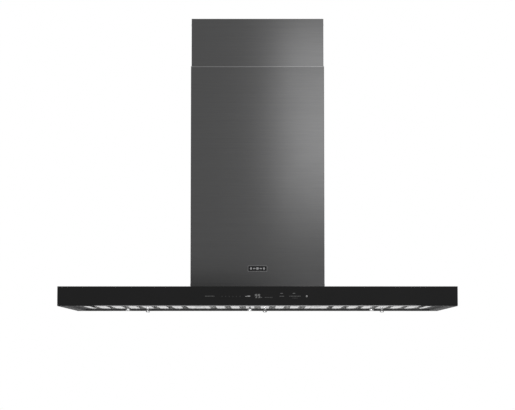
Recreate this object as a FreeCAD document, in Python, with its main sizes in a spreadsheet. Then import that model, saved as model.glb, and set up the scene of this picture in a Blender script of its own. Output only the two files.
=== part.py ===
import FreeCAD, Part
import os
import re

import Sketcher
from FreeCAD import Placement, Rotation, Vector

# Island range hood that hangs from a ceiling: a telescoping steel frame inside a two-part
# chimney cover carries a flat canopy with glass faces, a blower and three hinged baffle filters.
# Millimetres. +Z is up, X is the width, -Y is the front with the touch controls.
# The origin is the centre of the ceiling plane, where the bracket is bolted up.

# ---------------------------------------------------------------- driving sizes

SIZES = [
    ("width", 1219, "canopy, left to right"),
    ("depth", 686, "canopy, front to back"),
    ("drop", 914, "ceiling to the canopy's underside"),
    ("canopy_height", 60, "canopy, top to underside"),
    ("cover_width", 421, "lower chimney cover, outside"),
    ("cover_depth", 330, "lower chimney cover, outside"),
    ("cover_sheet", 1, "chimney cover sheet"),
    ("cover_gap", 0.8, "gap between the two chimney covers"),
    ("cover_bend", 1.6, "outer radius of the chimney covers' folds"),
    ("upper_length", 480, "upper chimney cover"),
    ("upper_visible", 152, "upper chimney cover that shows above the lower one"),
    ("raise_travel", 130, "how far the hood can be pushed up from rest"),
    ("lower_travel", 250, "how far the hood can be let down from rest"),
    ("bracket_sheet", 2.5, "ceiling bracket sheet"),
    ("bracket_flange", 25, "ceiling bracket's folded edge"),
    ("bracket_clearance", 0.7, "ceiling bracket to the upper cover"),
    ("bolt_inset_x", 37, "ceiling bolt hole from the bracket's side edge"),
    ("bolt_inset_y", 36.5, "ceiling bolt hole from the bracket's front or rear edge"),
    ("bolt_hole_radius", 4.5, "ceiling bolt hole"),
    ("post_leg", 30, "upper post's leg"),
    ("lower_leg", 25, "lower post's leg"),
    ("post_sheet", 2, "post sheet"),
    ("post_gap", 0.5, "gap between nested posts"),
    ("slot_clearance", 0.5, "clamp screw to the sides of its slot"),
    ("clamp_drop", 18, "clamp screw below the lower post's top"),
    ("screw_radius", 2.5, "small screw's thread"),
    ("screw_head", 4.5, "small screw's head radius"),
    ("screw_head_height", 1.8, "small screw's head"),
    ("hole_clearance", 0.1, "screw to its hole"),
    ("brace_height", 20, "brace ring's height"),
    ("brace_level", 300, "brace ring above the canopy"),
    ("base_height", 25, "chimney base's upstand"),
    ("base_foot", 40, "chimney base's inward foot"),
    ("base_gap", 0.5, "chimney base to the lower cover"),
    ("shell_sheet", 1.2, "canopy sheet"),
    ("shell_bend", 1.8, "outer radius of the canopy sheet's folds"),
    ("glass", 6, "glass thickness"),
    ("glass_edge", 0.6, "polished edge radius of the glass"),
    ("trim_height", 2, "bright trim strip under the glass"),
    ("trim_end", 113.5, "trim strip's end to the canopy's side"),
    ("trim_gap", 0.2, "trim strip to the rim frame"),
    ("rim_width", 30, "flat rim round the underside"),
    ("recess", 7, "filters above the rim"),
    ("side_ledge", 19.5, "ledge beside the outer filters"),
    ("divider_width", 32, "divider between filters"),
    ("upstand", 20, "divider's and ledge's upstand"),
    ("filter_thickness", 18, "filter, bottom to top"),
    ("filter_side_gap", 0.6, "filter to the divider or ledge"),
    ("filter_end_gap", 2, "filter to the recess's front and rear walls"),
    ("filter_sheet", 1, "filter frame and baffle sheet"),
    ("filter_count", 3, "filters side by side"),
    ("slot_count", 7, "slots in each filter"),
    ("bar_width", 28.6, "lower baffle"),
    ("side_band", 20.2, "filter frame's side band"),
    ("end_band", 25, "filter frame's end band"),
    ("baffle_lip", 8, "baffle's folded lip"),
    ("baffle_overlap", 8, "upper baffle beyond the slot, each side"),
    ("pin_radius", 3, "filter hinge pin"),
    ("pin_inset", 6, "hinge pin from the filter's rear face"),
    ("pin_rise", 5, "hinge pin above the filter's underside"),
    ("pin_reach", 3, "hinge pin past the wall it turns in, from the gap"),
    ("pin_clearance", 0.05, "hinge pin to its hole"),
    ("pull_reach", 128, "finger pull from the filter's middle, front to back"),
    ("pull_stem", 4.25, "finger pull's stem radius"),
    ("pull_head", 6.75, "finger pull's head radius"),
    ("pull_head_height", 5, "finger pull's head"),
    ("pull_length", 16.5, "finger pull below the filter"),
    ("lamp_length", 180, "lamp lens, front to back"),
    ("lamp_width", 18, "lamp lens, left to right"),
    ("lamp_lens", 3, "lamp lens thickness"),
    ("lamp_wall", 3, "lamp housing wall"),
    ("lamp_height", 11, "lamp housing"),
    ("lamp_gap", 0.2, "lamp lens to its slot"),
    ("control_level", 30, "middle of the touch controls above the underside"),
    ("board_width", 320, "control board, left to right"),
    ("board_height", 36, "control board, bottom to top"),
    ("board_thickness", 1.6, "control board"),
    ("display_width", 44, "display window, left to right"),
    ("display_height", 20, "display window, bottom to top"),
    ("display_depth", 4, "display between the glass and the board"),
    ("blower_height", 214, "blower box above the canopy"),
    ("blower_sheet", 1.2, "blower box and scroll sheet"),
    ("blower_corner", 29.5, "blower box to the lower post's inner face"),
    ("intake_lip", 15, "blower box's inner edge to the canopy opening"),
    ("side_space", 100, "scroll to the blower box's side, where air enters"),
    ("fan_level", 105, "fan axis above the canopy"),
    ("scroll_radius", 95, "scroll housing"),
    ("outlet_half", 50, "half of the scroll's outlet, front to back"),
    ("inlet_radius", 62, "scroll's round inlets"),
    ("inlet_rim", 10, "inlet ring's width"),
    ("inlet_depth", 6, "inlet ring's thickness"),
    ("wheel_radius", 74, "fan wheel"),
    ("wheel_gap", 8, "fan wheel to the scroll's sides"),
    ("wheel_ring", 3, "fan wheel's end ring and middle disc"),
    ("blade_depth", 13, "fan blade, radially"),
    ("blade_thickness", 1, "fan blade"),
    ("blade_count", 36, "fan blades"),
    ("hub_radius", 12, "fan wheel's hub"),
    ("hub_length", 30, "fan wheel's hub"),
    ("shaft_radius", 4, "fan shaft"),
    ("shaft_clearance", 0.05, "fan shaft to its bearing bore"),
    ("motor_radius", 42, "motor"),
    ("motor_length", 68, "motor"),
    ("capacitor_radius", 15, "capacitor"),
    ("capacitor_length", 55, "capacitor"),
    ("duct_radius", 100, "duct collar, outside"),
    ("duct_wall", 1.5, "duct collar wall"),
    ("duct_height", 60, "duct collar"),
    ("duct_flange", 12, "duct collar's flange, radially"),
    ("duct_clearance", 20, "ceiling opening round the duct"),
    ("damper_level", 30, "damper rod above the blower box"),
    ("damper_rod", 2, "damper rod radius"),
    ("damper_gap", 1.5, "damper flap to the collar wall"),
    ("damper_thickness", 1, "damper flap"),
    ("knuckle_radius", 3.2, "damper flap's knuckle"),
    ("knuckle_length", 30, "damper flap's knuckle"),
    ("knuckle_clearance", 0.06, "damper knuckle to its rod"),
    ("junction_width", 90, "junction box, front to back"),
    ("junction_height", 70, "junction box, bottom to top"),
    ("junction_depth", 26, "junction box, out from the blower box"),
    ("junction_wall", 1.5, "junction box wall"),
    ("junction_level", 100, "junction box above the canopy"),
    ("gland_radius", 9, "cable gland"),
    ("gland_bore", 5, "cable gland's bore radius"),
    ("gland_length", 20, "cable gland"),
    ("badge_width", 60, "badge plate, left to right"),
    ("badge_height", 18, "badge plate, bottom to top"),
    ("badge_thickness", 1.5, "badge plate"),
    ("badge_corner", 1.5, "badge plate's corner radius"),
    ("badge_level", 62, "middle of the badge above the canopy"),
]

doc = FreeCAD.newDocument("IslandHood")
sheet = doc.addObject("Spreadsheet::Sheet", "Sizes")
for row, (alias, value, meaning) in enumerate(SIZES, start=1):
    sheet.set(f"A{row}", meaning)
    sheet.set(f"B{row}", str(value))
    sheet.setAlias(f"B{row}", alias)
doc.recompute()
ALIASES = {alias for alias, value, meaning in SIZES}

# ---------------------------------------------------------------- derived places, as formulas

UNDER = "(-drop)"
TOP = "(canopy_height - drop)"
HALF_W = "(width / 2)"
HALF_D = "(depth / 2)"

COVER = ("(cover_width / 2)", "(cover_depth / 2)")
UPPER = tuple(f"({half} - cover_sheet - cover_gap)" for half in COVER)
BRACKET = tuple(f"({half} - cover_sheet - bracket_clearance)" for half in UPPER)
POST = tuple(f"({half} - bracket_sheet)" for half in BRACKET)
LOWER_POST = tuple(f"({half} - post_sheet - post_gap)" for half in POST)
LOWER_INNER = tuple(f"({half} - post_sheet)" for half in LOWER_POST)
BASE = tuple(f"({half} - cover_sheet - base_gap)" for half in COVER)
LOWER_TOP = "(-upper_visible)"

RIM_TOP = "(shell_sheet - drop)"
OPENING = (f"({HALF_W} - rim_width)", f"({HALF_D} - rim_width)")
PANEL = "(recess - drop)"
FILTER_TOP = "(recess + filter_thickness - drop)"
UPSTAND_TOP = "(recess + upstand - drop)"
BANK = f"({OPENING[0]} - side_ledge)"
FILTER_W = f"((2 * {BANK} - (filter_count - 1) * divider_width) / filter_count)"
FILTER_STEP = f"({FILTER_W} + divider_width)"
PITCH = f"(({FILTER_W} - 2 * side_band + bar_width) / slot_count)"
FILTER_HALF = (f"({FILTER_W} / 2 - filter_side_gap)", f"({OPENING[1]} - filter_end_gap)")
PIN_Y = f"({FILTER_HALF[1]} - pin_inset)"
PIN_Z = f"({PANEL} + pin_rise)"

BOX = tuple(f"({half} - blower_corner)" for half in LOWER_INNER)
BOX_TOP = f"({TOP} + blower_height)"
SCROLL_HALF = f"({BOX[0]} - side_space)"
FAN_Z = f"({TOP} + fan_level)"
DAMPER_Z = f"({BOX_TOP} + damper_level)"

SIDES = (("left", -1), ("right", 1))
ENDS = (("front", -1), ("rear", 1))
FILTERS = (("left", -1), ("centre", 0), ("right", 1))

# ---------------------------------------------------------------- building helpers


def formula(text):
    """Turns the size names in a formula into references to the sheet's cells."""
    return re.sub(r"[a-z_]+", lambda word: f"Sizes.{word[0]}" if word[0] in ALIASES else word[0], text)


def value(text):
    """The number that a formula gives now."""
    return float(sheet.evalExpression(formula(text)))


def span(half):
    """The two ends of a stretch that is centred on zero."""
    return (f"-({half})", half)


def label(part, name):
    part.Label = name
    return part


def box(name, x, y, z):
    """A block between two formulas along each axis."""
    block = doc.addObject("Part::Box", name)
    for edge, axis, (low, high) in zip(("Length", "Width", "Height"), "xyz", (x, y, z)):
        block.setExpression(edge, formula(f"({high}) - ({low})"))
        block.setExpression(f"Placement.Base.{axis}", formula(low))
    return block


TURNS = {"x": Rotation(Vector(0, 1, 0), 90), "y": Rotation(Vector(1, 0, 0), -90), "z": Rotation()}


def rod(name, axis, start, radius, length):
    """A round bar from a start point along one axis."""
    bar = doc.addObject("Part::Cylinder", name)
    bar.Placement = Placement(Vector(), TURNS[axis])
    bar.setExpression("Radius", formula(radius))
    bar.setExpression("Height", formula(length))
    for direction, place in zip("xyz", start):
        bar.setExpression(f"Placement.Base.{direction}", formula(place))
    return bar


def side_rods(name, inner, outer, spots, radius):
    """Bars along X from inner to outer on the right, and the same mirrored on the left."""
    length = f"({outer}) - ({inner})"
    bars = []
    for y, z in spots:
        bars.append(rod(name, "x", (inner, y, z), radius, length))
        bars.append(rod(name, "x", (f"-({outer})", y, z), radius, length))
    return bars


def fuse(name, parts):
    joined = doc.addObject("Part::MultiFuse", name)
    joined.Shapes = parts
    return joined


def cut(name, base, tools):
    trimmed = doc.addObject("Part::Cut", name)
    trimmed.Base = base
    trimmed.Tool = tools[0] if len(tools) == 1 else fuse(f"{name}_tools", tools)
    return trimmed


def new_body(name):
    return label(doc.addObject("PartDesign::Body", name), name)


def new_sketch(body, plane, offset="0"):
    """A sketch on one of the body's own planes, moved along that plane's normal."""
    sketch = body.newObject("Sketcher::SketchObject", f"{body.Name}_sketch")
    face = next(item for item in body.Origin.OriginFeatures if item.Role == plane)
    sketch.AttachmentSupport = [(face, "")]
    sketch.MapMode = "FlatFace"
    sketch.setExpression(".AttachmentOffset.Base.z", formula(offset))
    return sketch


def outline(sketch, points):
    """A closed outline of straight lines, with every corner bound to its two formulas."""
    corners = [Vector(value(x), value(y), 0) for x, y in points]
    count = len(corners)
    lines = [
        sketch.addGeometry(Part.LineSegment(corners[i], corners[(i + 1) % count])) for i in range(count)
    ]
    for i, line in enumerate(lines):
        sketch.addConstraint(Sketcher.Constraint("Coincident", line, 2, lines[(i + 1) % count], 1))
        for kind, place, now in (("DistanceX", points[i][0], corners[i].x),
                                 ("DistanceY", points[i][1], corners[i].y)):
            bound = sketch.addConstraint(Sketcher.Constraint(kind, -1, 1, line, 1, now))
            sketch.setExpression(f"Constraints[{bound}]", formula(place))


def rectangle(sketch, x, y):
    outline(sketch, [(x[0], y[0]), (x[1], y[0]), (x[1], y[1]), (x[0], y[1])])


def ring(sketch, radii, centre=("0", "0")):
    """Circles about one centre, with their radii and centre bound to formulas."""
    middle = Vector(value(centre[0]), value(centre[1]), 0)
    for radius in radii:
        circle = sketch.addGeometry(Part.Circle(middle, Vector(0, 0, 1), value(radius)))
        bound = sketch.addConstraint(Sketcher.Constraint("Radius", circle, value(radius)))
        sketch.setExpression(f"Constraints[{bound}]", formula(radius))
        for kind, place, now in (("DistanceX", centre[0], middle.x), ("DistanceY", centre[1], middle.y)):
            bound = sketch.addConstraint(Sketcher.Constraint(kind, -1, 1, circle, 3, now))
            sketch.setExpression(f"Constraints[{bound}]", formula(place))


def pad(body, sketch, length, both_ways=False):
    feature = body.newObject("PartDesign::Pad", f"{body.Name}_pad")
    feature.Profile = sketch
    feature.setExpression("Length", formula(length))
    feature.Midplane = both_ways
    return feature


def pocket(body, sketch):
    """Cuts a sketch's outline right through the body, both ways from its plane."""
    doc.recompute()
    before = body.Shape.Volume
    feature = body.newObject("PartDesign::Pocket", f"{body.Name}_pocket")
    feature.Profile = sketch
    feature.Type = "ThroughAll"
    feature.Midplane = True
    doc.recompute()
    if body.Shape.Volume >= before:
        raise RuntimeError(f"the pocket in {body.Label} removes nothing")
    return feature


def pattern(body, features, plane_axis, step, count):
    """Repeats features along one of the body's own axes."""
    row = body.newObject("PartDesign::LinearPattern", f"{body.Name}_row")
    row.Originals = features
    axis = next(item for item in body.Origin.OriginFeatures if item.Role == plane_axis)
    row.Direction = (axis, [""])
    row.setExpression("Length", formula(f"({step}) * (({count}) - 1)"))
    row.setExpression("Occurrences", formula(count))
    body.Tip = row
    return row


def round_edges(body, chosen, radius):
    """Rounds the edges of a body that the test picks, which is read from the present shape."""
    doc.recompute()
    tip = body.Tip
    names = [f"Edge{i}" for i, edge in enumerate(tip.Shape.Edges, start=1) if chosen(edge)]
    fillet = body.newObject("PartDesign::Fillet", f"{body.Name}_fillet")
    fillet.Base = (tip, names)
    fillet.setExpression("Radius", formula(radius))
    body.Tip = fillet
    return fillet


def runs_along(edge, axis):
    direction = edge.Vertexes[-1].Point - edge.Vertexes[0].Point
    return direction.Length > 0 and abs(abs(direction.normalize().dot(axis)) - 1) < 1e-6


def runs_along_y_at(edge, level):
    return runs_along(edge, Vector(0, 1, 0)) and abs(edge.CenterOfMass.z - value(level)) < 1e-4


NODES = []


def node(name, part):
    """Names a finished sub-part and books it for export."""
    label(part, name)
    NODES.append(part)
    return part


# ---------------------------------------------------------------- ceiling frame, fixed


BRACKET_SPOTS = [(f"{sign} * ({POST[1]} - post_leg * 0.6)", "-bracket_flange * 0.56") for sign in (-1, 1)]
UPPER_SCREW_SPOTS = [(f"{sign} * ({POST[1]} - post_leg * 1.4)", "-bracket_flange * 0.5") for sign in (-1, 1)]
SLOT_TOP = f"({LOWER_TOP} - clamp_drop + raise_travel + screw_radius + slot_clearance)"
SLOT_BOTTOM = f"({LOWER_TOP} - clamp_drop - lower_travel - screw_radius - slot_clearance)"
CLAMP_SPOTS = [(f"{sign} * ({POST[1]} - post_leg * 0.5)", f"{LOWER_TOP} - clamp_drop") for sign in (-1, 1)]


def ceiling_bracket():
    """A folded plate with a duct opening, four bolt holes and an edge turned down all round."""
    body = new_body("ceiling_bracket_sheet")
    edge = new_sketch(body, "XY_Plane", "-bracket_flange")
    rectangle(edge, span(BRACKET[0]), span(BRACKET[1]))
    rectangle(edge, span(POST[0]), span(POST[1]))
    pad(body, edge, "bracket_flange")
    plate = new_sketch(body, "XY_Plane", "-bracket_sheet")
    rectangle(plate, span(BRACKET[0]), span(BRACKET[1]))
    pad(body, plate, "bracket_sheet")
    opening = new_sketch(body, "XY_Plane")
    ring(opening, ["duct_radius + duct_clearance"])
    for x in (-1, 1):
        for y in (-1, 1):
            centre = (f"{x} * ({BRACKET[0]} - bolt_inset_x)", f"{y} * ({BRACKET[1]} - bolt_inset_y)")
            ring(opening, ["bolt_hole_radius"], centre)
    pocket(body, opening)
    holes = side_rods("bracket_hole", f"{POST[0]} - bracket_sheet", f"{BRACKET[0]} + bracket_sheet",
                      BRACKET_SPOTS + UPPER_SCREW_SPOTS, "screw_radius + hole_clearance")
    node("ceiling_bracket", cut("ceiling_bracket", body, holes))


def angle_post(name, x, y, outer, leg, low, high):
    """A steel angle whose corner faces outwards, in the quadrant that x and y give."""
    body = new_body(name)
    section = new_sketch(body, "XY_Plane", low)
    corner = [
        ("0", "0"),
        ("0", leg),
        ("post_sheet", leg),
        ("post_sheet", "post_sheet"),
        (leg, "post_sheet"),
        (leg, "0"),
    ]
    outline(section, [(f"{x} * ({outer[0]} - {a})", f"{y} * ({outer[1]} - {b})") for a, b in corner])
    pad(body, section, f"({high}) - ({low})")
    return body


def upper_posts():
    for end, y in ENDS:
        for side, x in SIDES:
            name = f"upper_post_{end}_{side}"
            body = angle_post(f"{name}_angle", x, y, POST, "post_leg", "-upper_length", "-bracket_sheet")
            slot = new_sketch(body, "YZ_Plane")
            middle = f"{y} * ({POST[1]} - post_leg * 0.5)"
            rectangle(slot, (f"{middle} - screw_radius - slot_clearance",
                             f"{middle} + screw_radius + slot_clearance"), (SLOT_BOTTOM, SLOT_TOP))
            pocket(body, slot)
            hole = rod(f"{name}_hole", "x", (f"{x} * {POST[0]} - post_leg", BRACKET_SPOTS[(y + 1) // 2][0],
                       BRACKET_SPOTS[0][1]), "screw_radius + hole_clearance", "2 * post_leg")
            node(name, cut(name, body, [hole]))


def bracket_bolts():
    """Flush bolts through the bracket's edge and the upper posts, with a nut inside."""
    shanks = side_rods("bracket_bolt", f"{POST[0]} - post_sheet - screw_head_height * 2", BRACKET[0],
                       BRACKET_SPOTS, "screw_radius")
    nuts = side_rods("bracket_nut", f"{POST[0]} - post_sheet - screw_head_height * 2",
                     f"{POST[0]} - post_sheet", BRACKET_SPOTS, "screw_head")
    node("bracket_bolts", fuse("bracket_bolts", shanks + nuts))


def cover_tube(name, outer, low, high):
    """A rectangular sheet cover with folded corners."""
    body = new_body(name)
    section = new_sketch(body, "XY_Plane", low)
    rectangle(section, span(outer[0]), span(outer[1]))
    pad(body, section, f"({high}) - ({low})")
    round_edges(body, lambda edge: runs_along(edge, Vector(0, 0, 1)), "cover_bend")
    inside = new_sketch(body, "XY_Plane")
    rectangle(inside, span(f"{outer[0]} - cover_sheet"), span(f"{outer[1]} - cover_sheet"))
    pocket(body, inside)
    return body


def upper_chimney():
    tube = cover_tube("upper_chimney_tube", UPPER, "-upper_length", "0")
    holes = side_rods("upper_chimney_hole", BRACKET[0], COVER[0], UPPER_SCREW_SPOTS,
                      "screw_radius + hole_clearance")
    node("upper_chimney", cut("upper_chimney", tube, holes))
    heads = side_rods("upper_chimney_head", UPPER[0], f"{UPPER[0]} + screw_head_height",
                      UPPER_SCREW_SPOTS, "screw_head")
    shanks = side_rods("upper_chimney_shank", f"{POST[0]} + bracket_clearance / 2", UPPER[0],
                       UPPER_SCREW_SPOTS, "screw_radius")
    node("upper_chimney_screws", fuse("upper_chimney_screws", heads + shanks))


# ---------------------------------------------------------------- telescoping frame and lower cover


def lower_posts():
    for end, y in ENDS:
        for side, x in SIDES:
            name = f"lower_post_{end}_{side}"
            low = f"{TOP} + post_sheet"
            body = angle_post(f"{name}_angle", x, y, LOWER_POST, "lower_leg", low, LOWER_TOP)
            spot = CLAMP_SPOTS[(y + 1) // 2]
            hole = rod(f"{name}_hole", "x", (f"{x} * {LOWER_POST[0]} - lower_leg", spot[0], spot[1]),
                       "screw_radius + hole_clearance", "2 * lower_leg")
            node(name, cut(name, body, [hole]))


def lower_brace():
    """A ring of flat strip welded inside the lower posts."""
    body = new_body("lower_brace")
    section = new_sketch(body, "XY_Plane", f"{TOP} + brace_level")
    rectangle(section, span(LOWER_INNER[0]), span(LOWER_INNER[1]))
    rectangle(section, span(f"{LOWER_INNER[0]} - post_sheet"), span(f"{LOWER_INNER[1]} - post_sheet"))
    pad(body, section, "brace_height")
    node("lower_brace", body)


def frame_clamp_screws():
    """Screws that pass through the upper posts' slots and hold the lower posts at their height."""
    inner = f"{LOWER_INNER[0]} - screw_head_height * 2"
    head = f"{POST[0]} + slot_clearance"
    shanks = side_rods("clamp_shank", inner, head, CLAMP_SPOTS, "screw_radius")
    heads = side_rods("clamp_head", head, f"{head} + screw_head_height", CLAMP_SPOTS, "screw_head")
    nuts = side_rods("clamp_nut", inner, LOWER_INNER[0], CLAMP_SPOTS, "screw_head")
    node("frame_clamp_screws", fuse("frame_clamp_screws", shanks + heads + nuts))


LOWER_SCREW_SPOTS = [(f"{sign} * ({BASE[1]} - base_foot)", f"{TOP} + base_height / 2") for sign in (-1, 1)]


def chimney_base():
    """An angle ring on the canopy: the posts stand on its foot, the cover is screwed to its upstand."""
    body = new_body("chimney_base_ring")
    wall = new_sketch(body, "XY_Plane", TOP)
    rectangle(wall, span(BASE[0]), span(BASE[1]))
    rectangle(wall, span(f"{BASE[0]} - post_sheet"), span(f"{BASE[1]} - post_sheet"))
    pad(body, wall, "base_height")
    foot = new_sketch(body, "XY_Plane", TOP)
    rectangle(foot, span(BASE[0]), span(BASE[1]))
    rectangle(foot, span(f"{BOX[0]} + base_gap"), span(f"{BOX[1]} + base_gap"))
    pad(body, foot, "post_sheet")
    holes = side_rods("chimney_base_hole", f"{BASE[0]} - post_sheet * 2", COVER[0], LOWER_SCREW_SPOTS,
                      "screw_radius + hole_clearance")
    node("chimney_base", cut("chimney_base", body, holes))


def lower_chimney():
    tube = cover_tube("lower_chimney_tube", COVER, TOP, LOWER_TOP)
    holes = side_rods("lower_chimney_hole", BASE[0], f"{COVER[0]} + cover_sheet", LOWER_SCREW_SPOTS,
                      "screw_radius + hole_clearance")
    node("lower_chimney", cut("lower_chimney", tube, holes))
    heads = side_rods("lower_chimney_head", COVER[0], f"{COVER[0]} + screw_head_height",
                      LOWER_SCREW_SPOTS, "screw_head")
    shanks = side_rods("lower_chimney_shank", f"{BASE[0]} - post_sheet * 2", COVER[0],
                       LOWER_SCREW_SPOTS, "screw_radius")
    node("lower_chimney_screws", fuse("lower_chimney_screws", heads + shanks))


def badge_plate():
    """A plain plate with round corners on the front of the lower cover."""
    body = new_body("badge_plate")
    face = new_sketch(body, "XZ_Plane", COVER[1])
    level = f"({TOP} + badge_level)"
    rectangle(face, span("badge_width / 2"), (f"{level} - badge_height / 2", f"{level} + badge_height / 2"))
    pad(body, face, "badge_thickness")
    round_edges(body, lambda edge: runs_along(edge, Vector(0, 1, 0)), "badge_corner")
    node("badge_plate", body)


# ---------------------------------------------------------------- canopy


def canopy_shell():
    """The top sheet with both sides folded down, open where the blower draws."""
    body = new_body("canopy_shell")
    section = new_sketch(body, "XZ_Plane")
    inner = f"({HALF_W} - shell_sheet)"
    ceiling = f"({TOP} - shell_sheet)"
    outline(section, [
        (f"-{HALF_W}", RIM_TOP),
        (f"-{HALF_W}", TOP),
        (HALF_W, TOP),
        (HALF_W, RIM_TOP),
        (inner, RIM_TOP),
        (inner, ceiling),
        (f"-{inner}", ceiling),
        (f"-{inner}", RIM_TOP),
    ])
    pad(body, section, "depth - 2 * glass", both_ways=True)
    round_edges(body, lambda edge: runs_along_y_at(edge, ceiling), "shell_bend - shell_sheet")
    round_edges(body, lambda edge: runs_along_y_at(edge, TOP), "shell_bend")
    intake = new_sketch(body, "XY_Plane")
    rectangle(intake, span(f"{BOX[0]} - intake_lip"), span(f"{BOX[1]} - intake_lip"))
    pocket(body, intake)
    node("canopy_shell", body)


def glass_faces():
    """Glass on the two long sides, flush with the canopy's top, above the bright trim strips."""
    for name, y in (("front_glass", -1), ("rear_glass", 1)):
        body = new_body(name)
        face = new_sketch(body, "XZ_Plane", f"{-y} * ({HALF_D} - glass / 2)")
        rectangle(face, span(HALF_W), (f"{UNDER} + trim_height", TOP))
        pad(body, face, "glass", both_ways=True)
        round_edges(body, lambda edge: True, "glass_edge")
        node(name, body)
    for name, y in (("front_trim", -1), ("rear_trim", 1)):
        outer = f"{y} * {HALF_D}"
        inner = f"{y} * ({HALF_D} - glass - trim_height)"
        reach = (outer, inner) if y < 0 else (inner, outer)
        node(name, box(name, span(f"{HALF_W} - trim_end"), reach, (UNDER, f"{UNDER} + trim_height")))


def rim_frame():
    """The flat rim, the walls of the recess and the ledges that the outer filters hang between."""
    flange = cut("rim_flange", box("rim_plate", span(HALF_W), span(HALF_D), (UNDER, RIM_TOP)), [
        box("rim_opening", span(OPENING[0]), span(OPENING[1]), (f"{UNDER} - recess", PANEL))])
    wall_top = f"({PANEL} + shell_sheet)"
    walls = cut("rim_walls", box("rim_wall_block", span(f"{OPENING[0]} + shell_sheet"),
                                 span(f"{OPENING[1]} + shell_sheet"), (UNDER, wall_top)), [
        box("rim_wall_hollow", span(OPENING[0]), span(OPENING[1]), (f"{UNDER} - recess", TOP))])
    pieces = [flange, walls]
    for side, x in SIDES:
        edges = (f"{x} * {BANK}", f"{x} * ({OPENING[0]} + shell_sheet)")
        lip = (f"{x} * {BANK}", f"{x} * ({BANK} + shell_sheet)")
        across = edges if x > 0 else edges[::-1]
        upright = lip if x > 0 else lip[::-1]
        length = span(f"{OPENING[1]} + shell_sheet")
        pieces.append(box(f"rim_ledge_{side}", across, length, (PANEL, wall_top)))
        pieces.append(box(f"rim_upstand_{side}", upright, length, (PANEL, UPSTAND_TOP)))
    for end, y in ENDS:
        edges = (f"{y} * {OPENING[1]}", f"{y} * ({OPENING[1]} + shell_sheet)")
        across = edges if y > 0 else edges[::-1]
        pieces.append(box(f"rim_upstand_{end}", span(f"{BANK} + shell_sheet"), across, (UNDER, UPSTAND_TOP)))
    tools = side_rods("rim_pin_hole", f"{BANK} - shell_sheet", f"{BANK} + shell_sheet * 2",
                      [(PIN_Y, PIN_Z)], "pin_radius + pin_clearance")
    for end, y in ENDS:
        edges = (f"{y} * ({HALF_D} - glass - trim_height - trim_gap)", f"{y} * ({HALF_D} + glass)")
        across = edges if y > 0 else edges[::-1]
        tools.append(box(f"rim_notch_{end}", span(f"{HALF_W} - trim_end + trim_gap"), across,
                         (f"{UNDER} - recess", f"{UNDER} + trim_height")))
    node("rim_frame", cut("rim_frame", fuse("rim_sheet_metal", pieces), tools))


def dividers():
    """Channels between the filters, with a slot for a lamp and holes for the hinge pins."""
    for side, x in SIDES:
        name = f"divider_{side}"
        middle = f"({x} * {FILTER_STEP} / 2)"
        outer = (f"{middle} - divider_width / 2", f"{middle} + divider_width / 2")
        inner = (f"{outer[0]} + shell_sheet", f"{outer[1]} - shell_sheet")
        block = box(f"{name}_block", outer, span(OPENING[1]), (PANEL, UPSTAND_TOP))
        hollow = box(f"{name}_hollow", inner, span(f"{OPENING[1]} + recess"),
                     (f"{PANEL} + shell_sheet", f"{UPSTAND_TOP} + recess"))
        slot = box(f"{name}_slot", (f"{middle} - lamp_width / 2 - lamp_gap", f"{middle} + lamp_width / 2 + lamp_gap"),
                   span("lamp_length / 2 + lamp_gap"), (f"{PANEL} - recess", f"{PANEL} + recess"))
        hole = rod(f"{name}_pin_hole", "x", (f"{middle} - divider_width", PIN_Y, PIN_Z),
                   "pin_radius + pin_clearance", "2 * divider_width")
        node(name, cut(name, block, [hollow, slot, hole]))


def lamps():
    """A long lamp in each divider: a tray above the web and a lens in its slot."""
    for side, x in SIDES:
        middle = f"({x} * {FILTER_STEP} / 2)"
        tray_half = "(lamp_width / 2 + lamp_wall)"
        tray_floor = f"({PANEL} + shell_sheet)"
        tray = box(f"lamp_tray_{side}", (f"{middle} - {tray_half}", f"{middle} + {tray_half}"),
                   span("lamp_length / 2 + lamp_wall"), (tray_floor, f"{tray_floor} + lamp_height"))
        hollow = box(f"lamp_hollow_{side}", (f"{middle} - lamp_width / 2 - lamp_gap",
                                             f"{middle} + lamp_width / 2 + lamp_gap"),
                     span("lamp_length / 2 + lamp_gap"), (PANEL, f"{tray_floor} + lamp_height - lamp_wall"))
        node(f"lamp_housing_{side}", cut(f"lamp_housing_{side}", tray, [hollow]))
        node(f"lamp_lens_{side}", box(f"lamp_lens_{side}", (f"{middle} - lamp_width / 2",
                                                            f"{middle} + lamp_width / 2"),
                                      span("lamp_length / 2"), (PANEL, f"{PANEL} + lamp_lens")))


def controls():
    """The display and the touch board behind the front glass."""
    level = f"({UNDER} + control_level)"
    glass_back = f"(glass - {HALF_D})"
    board_front = f"({glass_back} + display_depth)"
    node("display_module", box("display_module", span("display_width / 2"), (glass_back, board_front),
                               (f"{level} - display_height / 2", f"{level} + display_height / 2")))
    node("control_board", box("control_board", span("board_width / 2"),
                              (board_front, f"{board_front} + board_thickness"),
                              (f"{level} - board_height / 2", f"{level} + board_height / 2")))


# ---------------------------------------------------------------- filters


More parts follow.
